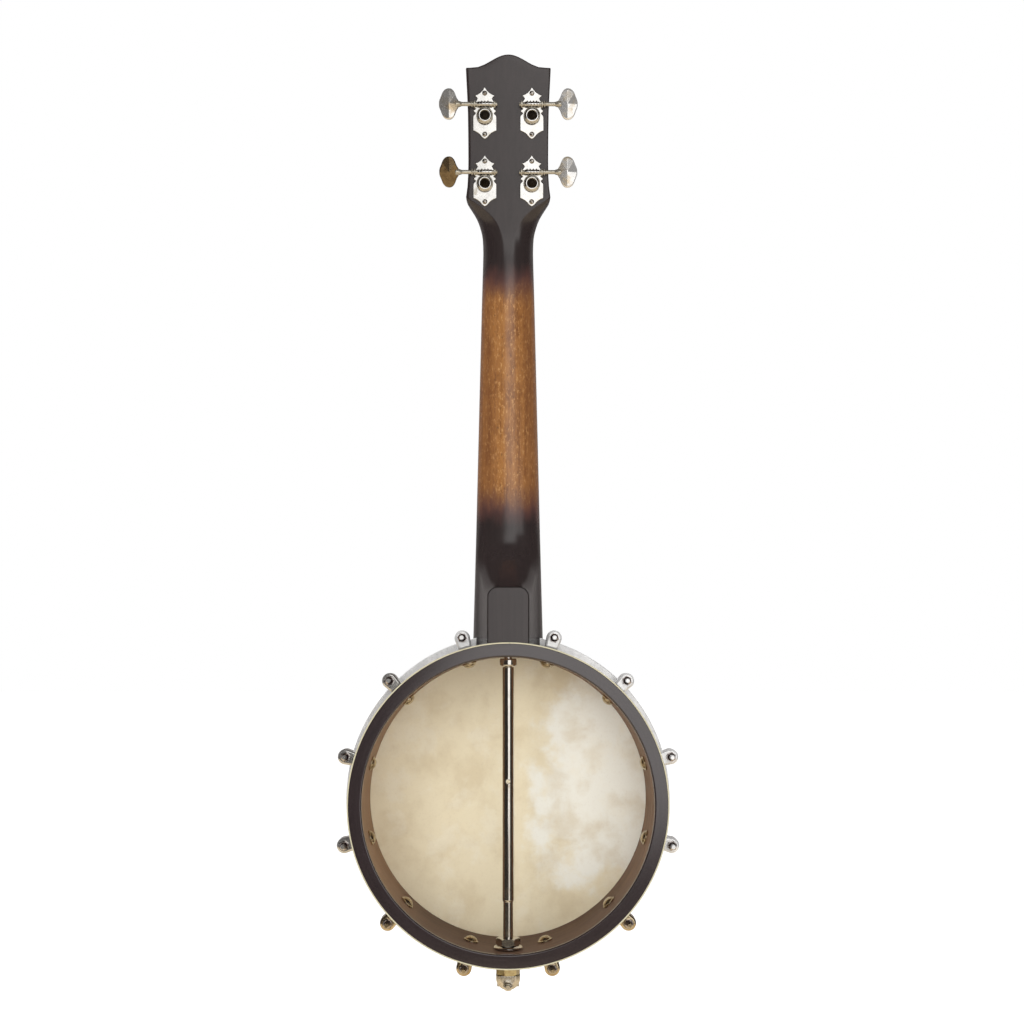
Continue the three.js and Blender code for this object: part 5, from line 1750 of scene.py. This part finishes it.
@dataclass
class Strings:
    """Four strings from the tailpiece over bridge and nut to the posts."""

    radii: tuple[float, ...] = (0.33, 0.46, 0.41, 0.33)
    nut_span: float = 26.4
    bridge_span: float = 41.0
    tail_span: float = 24.0
    saddle_top: float = 76.25
    slot_floor: float = -1.4
    post_radius: float = 3.05
    wind_start: float = 6.4
    wind: float = 1.3

    def build(self, bench: Bench, neck: Neck) -> None:
        """Makes each string.

        Args:
            bench: where the pieces are delivered.
            neck: the neck that they run along.
        """
        for index, radius in enumerate(self.radii):
            path = self.path(index, radius, neck)
            bench.deliver(f"string_run_{index + 1}", Workpiece().add(tube(path, radius, 8)), [NYLON],
                          f"string_{index + 1}", crease=50)

    def path(self, index: int, radius: float, neck: Neck) -> list[Vector]:
        """The route of one string.

        Args:
            index: which string, from the left of the back view.
            radius: the string's radius.
            neck: the neck.

        Returns:
            Points from the tailpiece to the post.
        """
        share = index / 3 - 0.5
        tail, saddle, nut = self.tail_span * share, self.bridge_span * share, self.nut_span * share
        top, rest = self.saddle_top + radius, self.slot_floor - radius
        points = [Vector((tail, 66.9, -87.4)), Vector((tail, 69.2, -86.6)),
                  Vector((tail, 71.4 + radius, -84.6)),
                  Vector((mix(tail, saddle, 0.05), 71.55 + radius, -82.2)),
                  Vector((saddle, top - 0.15, -55.8)), Vector((saddle, top, -54.6)),
                  Vector((saddle, top, -53.4)), Vector((saddle, top - 0.02, -52.0))]
        points += [neck.frame @ Vector((nut, along, rest)) for along in (-1.0, 0.3, 5.4)]
        side = -1 if index < 2 else 1
        level = neck.post_upper if index in (1, 2) else neck.post_lower
        ring = self.post_radius + radius
        for step in range(1, 34):
            turn = math.tau * (step - 1) / 20
            points.append(neck.head_frame @ Vector((
                side * (neck.post_across - ring * math.cos(turn)), level + ring * math.sin(turn),
                turn / math.tau * self.wind - self.wind_start)))
        return points


# The tuners


@dataclass
class Tuners:
    """Four geared tuners: plate, worm and button, gear and post, and the bushing in front."""

    worm_height: float = 7.4
    axle: float = 4.05
    # Degrees from the button's outer end and its reach there, as a share of its ellipse.
    outline: tuple[Point, ...] = ((0, 1.0), (8, 1.003), (15, 0.985), (22, 0.952), (30, 0.932), (38, 0.945),
                                  (47, 0.972), (57, 0.993), (68, 1.004), (80, 1.003), (90, 1.0), (100, 0.997),
                                  (107, 0.988), (113, 0.97), (119, 0.95), (125, 0.925), (131, 0.90),
                                  (137, 0.875), (144, 0.858), (150, 0.853), (156, 0.875), (161, 0.915),
                                  (168, 0.972), (174, 0.997), (180, 1.0))

    def build(self, bench: Bench, neck: Neck) -> None:
        """Makes the four tuners.

        Args:
            bench: where the pieces are delivered.
            neck: the neck that carries them.
        """
        names = ["upper_left", "upper_right", "lower_left", "lower_right"]
        tilts = [4.0, -2.0, -17.0, -4.0]
        for name, seat, tilt in zip(names, neck.seats(), tilts):
            side = Side.LEFT if name.endswith("left") else Side.RIGHT
            bench.deliver(f"plate_{name}", self.plate(), [TUNER_NICKEL, TUNER_BRASS, SCREW_STEEL],
                          f"tuner_plate_{name}", seat, crease=30)
            bench.deliver(f"post_{name}", self.post(), [TUNER_NICKEL, TUNER_BRASS, RECESS_SHADE],
                          f"tuner_post_{name}", seat, crease=30)
            bench.deliver(f"bushing_{name}", self.bushing(), [TUNER_NICKEL], f"post_bushing_{name}", seat)
            # The right-hand buttons take the copy with painted light.
            face = BUTTON_LIT if side is Side.RIGHT else BUTTON_NICKEL
            if name == "lower_left":
                face = BUTTON_BRONZE
            bench.deliver(f"button_{name}", self.button(side, math.radians(tilt)),
                          [face, TUNER_NICKEL, TUNER_BRASS], f"tuner_button_{name}",
                          seat @ shift(0, self.worm_height, self.axle), crease=14, flat_first=False)

    def plate(self) -> Workpiece:
        """The shaped plate with its two ears and two slotted screws.

        Returns:
            The workpiece, with the post at the origin.
        """
        right = [(0.0, 18.9), (1.3, 17.0), (3.0, 15.3), (4.9, 14.1), (6.8, 13.4), (5.6, 12.5), (4.9, 11.4),
                 (7.1, 7.9), (7.6, 6.9), (7.5, 6.0), (6.0, 4.7), (7.6, 3.6), (7.4, 2.8), (6.2, 2.0),
                 (6.5, 1.3), (7.7, 0.2), (7.9, -0.8), (7.9, -9.6), (6.2, -10.2), (4.5, -11.2), (3.2, -12.3),
                 (2.4, -13.3), (1.3, -14.4), (0.0, -15.1)]
        outline = right + [(-x, y) for x, y in reversed(right[1:-1])]
        body = prism(outline, 0.05, 1.3, 0.3)
        bore = bar(3.35, -2, 4, steps=32)
        slit = box(9.0, 3.4, 4.0)
        slit.transform(shift(0, self.worm_height, 1.0))
        work = Workpiece().add(worked(body, [bore, slit]))
        for side in (-1, 1):
            ear = prism([(-2.4, 0.3), (2.4, 0.3), (2.4, 4.4), (1.9, 5.9), (0.9, 6.5), (-0.9, 6.5),
                         (-1.9, 5.9), (-2.4, 4.4)], -0.5, 0.5, 0.22, 0.22)
            ear.transform(shift(side * 6.8, self.worm_height, 0) @ Matrix.Rotation(math.pi / 2, 4, "Z")
                          @ Matrix.Rotation(math.pi / 2, 4, "X"))
            drill = bar(1.62, -12, 12, steps=20)
            drill.transform(shift(0, self.worm_height, self.axle) @ Matrix.Rotation(math.pi / 2, 4, "Y"))
            work.add(worked(ear, [drill]), finish=1)
        for height, turn in ((15.0, 0.5), (-12.0, -0.7)):
            head = turned([(0, 0.6, 0), (1.7, 0.6, 0), (1.7, 1.5, 0.15), (1.15, 1.95, 0.3), (0, 2.1, 0)], 28)
            slot = box(4.4, 0.42, 1.0)
            slot.transform(shift(0, 0, 2.12) @ Matrix.Rotation(turn, 4, "Z"))
            work.add(worked(head, [slot]), shift(0, height, 0), 2)
        return work

    def gear(self) -> bmesh.types.BMesh:
        """The wheel, whose slanted teeth follow the worm.

        Returns:
            A closed shape about the wheel's middle.
        """
        teeth, tip, root, face = 16, 5.6, 4.65, 2.4
        pitch = math.tau / teeth
        outline = []
        for tooth in range(teeth):
            middle = math.pi / 2 + (tooth + 0.5) * pitch
            for radius, offset in ((root, -0.36 * pitch), (tip, -0.11 * pitch), (tip, 0.11 * pitch),
                                   (root, 0.36 * pitch)):
                outline.append((radius, middle + offset))
        slant = (math.tau * 5.3 / teeth) / (math.tau * 2.1)
        rings = [[Vector((radius * math.cos(turn + slant * z / 5.3),
                          radius * math.sin(turn + slant * z / 5.3), z))
                  for radius, turn in outline] for z in (-face / 2, -face / 4, 0.0, face / 4, face / 2)]
        return lofted(rings)

    def post(self) -> Workpiece:
        """The post through the headstock with the gear, the ring over it and its screw, the hole and screw
        painted dark as shade.

        Returns:
            The workpiece, with the post on the Z axis.
        """
        low, top = self.axle - 1.2, self.axle + 1.2
        work = Workpiece()
        hole = bar(0.9, -6, 6, steps=16)
        hole.transform(shift(0, 0, -19.4) @ Matrix.Rotation(math.pi / 2, 4, "Y"))
        stem = turned([(0, -27.0, 0), (3.0, -27.0, 0.7), (3.0, -21.5, 0.2), (2.75, -20.9, 0),
                       (2.75, -17.9, 0), (3.0, -17.3, 0.2), (3.0, low + 0.1, 0), (0, low + 0.1, 0)], 40)
        work.add(worked(stem, [hole]))
        work.add(self.gear(), shift(0, 0, self.axle), 1)
        work.add(turned([(3.1, top - 0.3, 0), (5.55, top - 0.3, 0.1), (5.55, top + 0.1, 0.12),
                         (4.9, top + 0.35, 0.2), (3.1, top + 0.35, 0)], 48), finish=1)
        work.add(turned([(3.0, top + 0.05, 0), (4.75, top + 0.3, 0), (4.9, top + 0.75, 0.3),
                         (4.1, top + 1.3, 0.35), (3.2, top + 1.2, 0.25), (3.0, top + 0.6, 0)], 48))
        # Painted shade: the hole in the cover and its screw are near-black, as the recess is shaded.
        work.add(bar(3.05, top - 0.3, top + 0.32, steps=32), finish=2)
        screw = turned([(0, top + 0.2, 0), (2.2, top + 0.2, 0), (2.2, top + 0.6, 0.15), (1.4, top + 0.8, 0.2),
                        (0, top + 0.85, 0)], 28)
        slot = box(5.4, 0.45, 0.7)
        slot.transform(shift(0, 0, top + 0.95) @ Matrix.Rotation(0.6, 4, "Z"))
        work.add(worked(screw, [slot]), finish=2)
        return work

    def bushing(self) -> Workpiece:
        """The flanged bushing round the post on the headstock's front.

        Returns:
            The workpiece, with the post on the Z axis.
        """
        face = -13.0
        return Workpiece().add(turned([(3.3, face - 1.3, 0.2), (4.6, face - 1.3, 0.4), (5.6, face - 0.4, 0.2),
                                       (5.6, face, 0), (4.2, face, 0), (4.2, face + 7.7, 0.2),
                                       (3.3, face + 7.7, 0)], 48))

    def worm(self) -> bmesh.types.BMesh:
        """The worm's thread, wound about the local Z axis.

        Returns:
            A closed shape about its middle.
        """
        pitch, turns, steps = 2.081, 3.6, 24
        shape = bmesh.new()
        profile = [(1.2, -0.50), (2.1, -0.30), (2.42, -0.14), (2.42, 0.14), (2.1, 0.30), (1.2, 0.50)]
        length = pitch * turns
        face = shape.faces.new([shape.verts.new((radius, 0.0, along - length / 2))
                                for radius, along in profile])
        count = round(turns * steps)
        bmesh.ops.spin(shape, geom=[face, *face.edges, *face.verts], cent=(0, 0, 0), axis=(0, 0, 1),
                       dvec=(0, 0, length / count), angle=math.tau * turns, steps=count, use_merge=False,
                       use_duplicate=False)
        bmesh.ops.holes_fill(shape, edges=[edge for edge in shape.edges if edge.is_boundary], sides=0)
        bmesh.ops.recalc_face_normals(shape, faces=shape.faces[:])
        return shape

    def button(self, side: Side, tilt: float) -> Workpiece:
        """A button with its shaft and worm.

        Args:
            side: which way the shaft points.
            tilt: how far the button is turned about its shaft.

        Returns:
            The workpiece, with the shaft along X through the worm's middle.
        """
        half_length, half_height, middle = 6.75, 10.45, 23.95
        thick, edge = 2.6, 0.75
        facets = [math.radians(22.5 + 45 * step) for step in range(8)]

        def layer(share: float, lift: float) -> list[Vector]:
            """One ring of the button at a share of its outline.

            Args:
                share: share of the outline's reach.
                lift: share of the face's rise.

            Returns:
                The ring.
            """
            points = []
            for step in range(96):
                turn = math.tau * step / 96
                lobe = table_at(self.outline, math.degrees(math.acos(math.cos(turn))))[0]
                x, y = math.cos(turn) * lobe * share, math.sin(turn) * lobe * share
                facet = max(x * math.cos(a) + y * math.sin(a) for a in facets)
                rise = edge + (thick - edge) * max(1 - facet / 0.98, 0.0)
                points.append(Vector((middle + half_length * x, half_height * y, lift * rise)))
            return points

        steps = [(share, 1.0) for share in (0.03, 0.14, 0.27, 0.4, 0.53, 0.66, 0.78, 0.86, 0.92)]
        steps += [(0.955, 0.90), (0.98, 0.70), (0.995, 0.42), (1.0, 0.15)]
        rings = [layer(share, lift) for share, lift in steps]
        rings += [layer(share, -lift) for share, lift in reversed(steps)]
        turned_about = Matrix.Rotation(tilt, 4, "X")
        facing = Matrix.Rotation(math.pi if side is Side.LEFT else 0.0, 4, "Z")
        along_x = facing @ Matrix.Rotation(math.pi / 2, 4, "Y")
        work = Workpiece().add(lofted(rings), facing @ turned_about, 0)
        shaft = turned([(0, -8.5, 0), (1.4, -8.5, 0.3), (1.4, 8.0, 0), (2.2, 8.0, 0.2), (2.2, 8.9, 0.2),
                        (1.4, 9.0, 0), (1.4, 15.4, 0), (1.75, 16.2, 0.3), (2.1, 17.2, 0.4), (2.3, 19.6, 0.3),
                        (0, 21.0, 0)], 32)
        work.add(shaft, along_x, 2)
        work.add(self.worm(), along_x, 1)
        work.add(bar(1.75, -4.9, 4.9, 0.2, 0.2, 28), along_x, 1)
        return work


# The studio


@dataclass
class Studio:
    """A pale floor, soft lamps, and the camera at the photograph's angle."""

    floor_drop: float = 0.36
    lens: float = 52.68
    ambient: float = 0.92
    cloth_top: float = 1.42
    floor_half: float = 30.0
    floor_glow: float = 0.42
    floor_colour: Colour = (0.80, 0.79, 0.78)

    def build(self) -> None:
        """Sets the stage."""
        self.camera()
        self.floor()
        self.world()
        self.lamps()
        self.flag()
        bpy.context.scene.view_settings.view_transform = "Standard"

    def camera(self) -> None:
        """The camera, level with the pot's upper edge and tipped up a little."""
        data = bpy.data.cameras.new("photo_camera")
        data.lens = self.lens
        data.sensor_width = 36.0
        data.clip_start = 0.01
        data.clip_end = 50.0
        camera = bpy.data.objects.new("photo_camera", data)
        camera.location = (-0.0016, -1.0026, -0.2979)
        camera.rotation_euler = (math.radians(95.82), 0.0, math.radians(-0.24))
        bpy.context.scene.collection.objects.link(camera)
        bpy.context.scene.camera = camera

    def seen(self, tree: bpy.types.NodeTree) -> Any:
        """Where a ray comes from the camera, a gloss or a glass.

        Args:
            tree: the node tree that asks.

        Returns:
            An output that is 1 for those rays.
        """
        rays = wired(tree, "ShaderNodeLightPath", {}).outputs
        total = rays["Is Camera Ray"]
        for name in ("Is Glossy Ray", "Is Transmission Ray"):
            both = wired(tree, "ShaderNodeMath", {0: total, 1: rays[name]}, operation="ADD", use_clamp=True)
            total = both.outputs[0]
        return total

    def floor(self) -> None:
        """A wide pale floor that keeps the object's shadow."""
        shape = bmesh.new()
        bmesh.ops.create_grid(shape, x_segments=1, y_segments=1, size=self.floor_half)
        low = CAD_BOX[0][2] - self.floor_drop
        bmesh.ops.translate(shape, vec=(0, 0, low), verts=shape.verts[:])
        mesh = bpy.data.meshes.new("studio_floor")
        shape.to_mesh(mesh)
        shape.free()
        material = bpy.data.materials.new("studio_floor_pale")
        material.use_nodes = True
        tree = material.node_tree
        tree.nodes.clear()
        matt = wired(tree, "ShaderNodeBsdfDiffuse", {"Color": self.floor_colour})
        level = wired(tree, "ShaderNodeMath", {0: self.seen(tree), 1: self.floor_glow}, operation="MULTIPLY")
        glow = wired(tree, "ShaderNodeEmission", {"Color": WHITE, "Strength": level.outputs[0]})
        both = wired(tree, "ShaderNodeAddShader", {0: matt.outputs[0], 1: glow.outputs[0]})
        wired(tree, "ShaderNodeOutputMaterial", {"Surface": both.outputs[0]})
        mesh.materials.append(material)
        floor = bpy.data.objects.new("studio_floor", mesh)
        bpy.context.scene.collection.objects.link(floor)

    def world(self) -> None:
        """White where it is seen, and a soft even light elsewhere."""
        world = bpy.data.worlds.new("studio_world")
        world.use_nodes = True
        tree = world.node_tree
        tree.nodes.clear()
        soft = (self.ambient, self.ambient, self.ambient * 1.01)
        tint = wired(tree, "ShaderNodeMix", {"Factor": self.seen(tree), 6: soft, 7: WHITE}, data_type="RGBA")
        back = wired(tree, "ShaderNodeBackground", {"Color": tint.outputs[2]})
        wired(tree, "ShaderNodeOutputWorld", {"Surface": back.outputs[0]})
        bpy.context.scene.world = world

    def lamp(self, name: str, place: Sequence[float], aim: Sequence[float], size: Point, power: float,
             colour: Colour = WHITE, mirrored: bool = True) -> None:
        """One soft box.

        Args:
            name: its name.
            place: where it hangs, in metres.
            aim: the point that it faces.
            size: its two sides in metres.
            power: its power in watts.
            colour: its colour.
            mirrored: whether polished faces show it.
        """
        data = bpy.data.lights.new(name, "AREA")
        data.shape = "RECTANGLE"
        data.size, data.size_y = size
        data.energy = power
        data.color = colour
        lamp = bpy.data.objects.new(name, data)
        lamp.location = place
        lamp.rotation_euler = (Vector(aim) - Vector(place)).to_track_quat("-Z", "Y").to_euler()
        lamp.visible_camera = False
        lamp.visible_glossy = mirrored
        bpy.context.scene.collection.objects.link(lamp)

    def lamps(self) -> None:
        """Key boxes behind the camera and to its right, a fill at its left, and low, top and front boxes."""
        warm = (1.0, 0.99, 0.975)
        self.lamp("key_box", (0.62, -1.75, -0.295), (0.62, 0.0, -0.295), (1.46, 0.59), 3.95, warm)
        self.lamp("key_box_upper", (0.15, -1.75, 0.355), (0.15, 0.0, 0.355), (0.66, 0.71), 2.25, warm)
        self.lamp("fill_box", (-0.9, -1.6, 0.1), (0.06, 0.0, -0.385), (0.8, 0.8), 6.4, warm, mirrored=False)
        self.lamp("low_box", (0.85, -1.75, -0.70), (0.85, 0.0, -0.70), (1.0, 0.26), 0.8, (1.0, 0.95, 0.88))
        self.lamp("top_box", (-0.1, -0.4, 1.5), (0.0, 0.0, -0.1), (1.4, 1.0), 7.0, mirrored=False)
        self.lamp("front_box", (0.0, 1.8, 0.6), (0.0, 0.0, -0.2), (1.4, 1.4), 8.0, mirrored=False)

    def flag(self) -> None:
        """A dark cloth round the object, a tan one under it and a dark one over it."""
        floor = CAD_BOX[0][2] - self.floor_drop + 0.02
        wall = bmesh.new()
        corners = [wall.verts.new((0.0, -1.75, floor)), wall.verts.new((0.0, -2.4, floor)),
                   wall.verts.new((0.0, -2.4, self.cloth_top))]
        for start, end in zip(corners, corners[1:]):
            wall.edges.new((start, end))
        bmesh.ops.spin(wall, geom=wall.verts[:] + wall.edges[:], cent=(0, 0, 0), axis=(0, 0, 1),
                       dvec=(0, 0, 0), angle=math.tau, steps=72, use_merge=True,
                       use_duplicate=False)
        dark, tan = (0.035, 0.028, 0.024), (0.62, 0.51, 0.35)
        self.cloth("dark", wall, dark, (0.30, 0.28, 0.27))
        tray = bmesh.new()
        bmesh.ops.create_circle(tray, cap_ends=True, segments=72, radius=1.75)
        bmesh.ops.translate(tray, vec=(0, 0, floor), verts=tray.verts[:])
        self.cloth("tan", tray, tan, tan)
        cover = bmesh.new()
        bmesh.ops.create_grid(cover, x_segments=1, y_segments=1, size=1.0)
        bmesh.ops.scale(cover, vec=(2.5, 2.5, 1.0), verts=cover.verts[:])
        bmesh.ops.translate(cover, vec=(0, 0, self.cloth_top), verts=cover.verts[:])
        self.cloth("cover", cover, dark, dark)

    def cloth(self, name: str, shape: bmesh.types.BMesh, near: Colour, far: Colour) -> None:
        """Hangs a cloth that only polished faces show.

        Args:
            name: the cloth's name.
            shape: its mesh in metres, used up.
            near: its colour on the camera's side of the object.
            far: its colour on the other side.
        """
        mesh = bpy.data.meshes.new(f"studio_cloth_{name}")
        shape.to_mesh(mesh)
        shape.free()
        material = bpy.data.materials.new(f"studio_cloth_{name}")
        material.use_nodes = True
        tree = material.node_tree
        shader = tree.nodes["Principled BSDF"]
        shader.inputs["Roughness"].default_value = 1.0
        place = wired(tree, "ShaderNodeTexCoord", {}).outputs["Object"]
        axes = wired(tree, "ShaderNodeSeparateXYZ", {"Vector": place}).outputs
        share = wired(tree, "ShaderNodeMapRange", {"Value": axes["Y"], "From Min": 0.3, "From Max": 1.3})
        tint = wired(tree, "ShaderNodeMix", {"Factor": share.outputs["Result"], 6: near, 7: far},
                     data_type="RGBA")
        tree.links.new(tint.outputs[2], shader.inputs["Base Color"])
        mesh.materials.append(material)
        cloth = bpy.data.objects.new(f"studio_cloth_{name}", mesh)
        cloth.visible_camera = False
        cloth.visible_diffuse = False
        cloth.visible_shadow = False
        bpy.context.scene.collection.objects.link(cloth)


def main() -> None:
    """Builds the instrument and the studio."""
    logging.basicConfig(level=logging.INFO, format="%(name)s: %(message)s")
    bench = Bench(frame)
    neck = Neck()
    Pot().build(bench)
    Brackets().build(bench)
    Rod().build(bench)
    Tail().build(bench)
    neck.build(bench)
    Strings().build(bench, neck)
    Tuners().build(bench, neck)
    Studio().build()


if __name__ == "__main__":
    main()
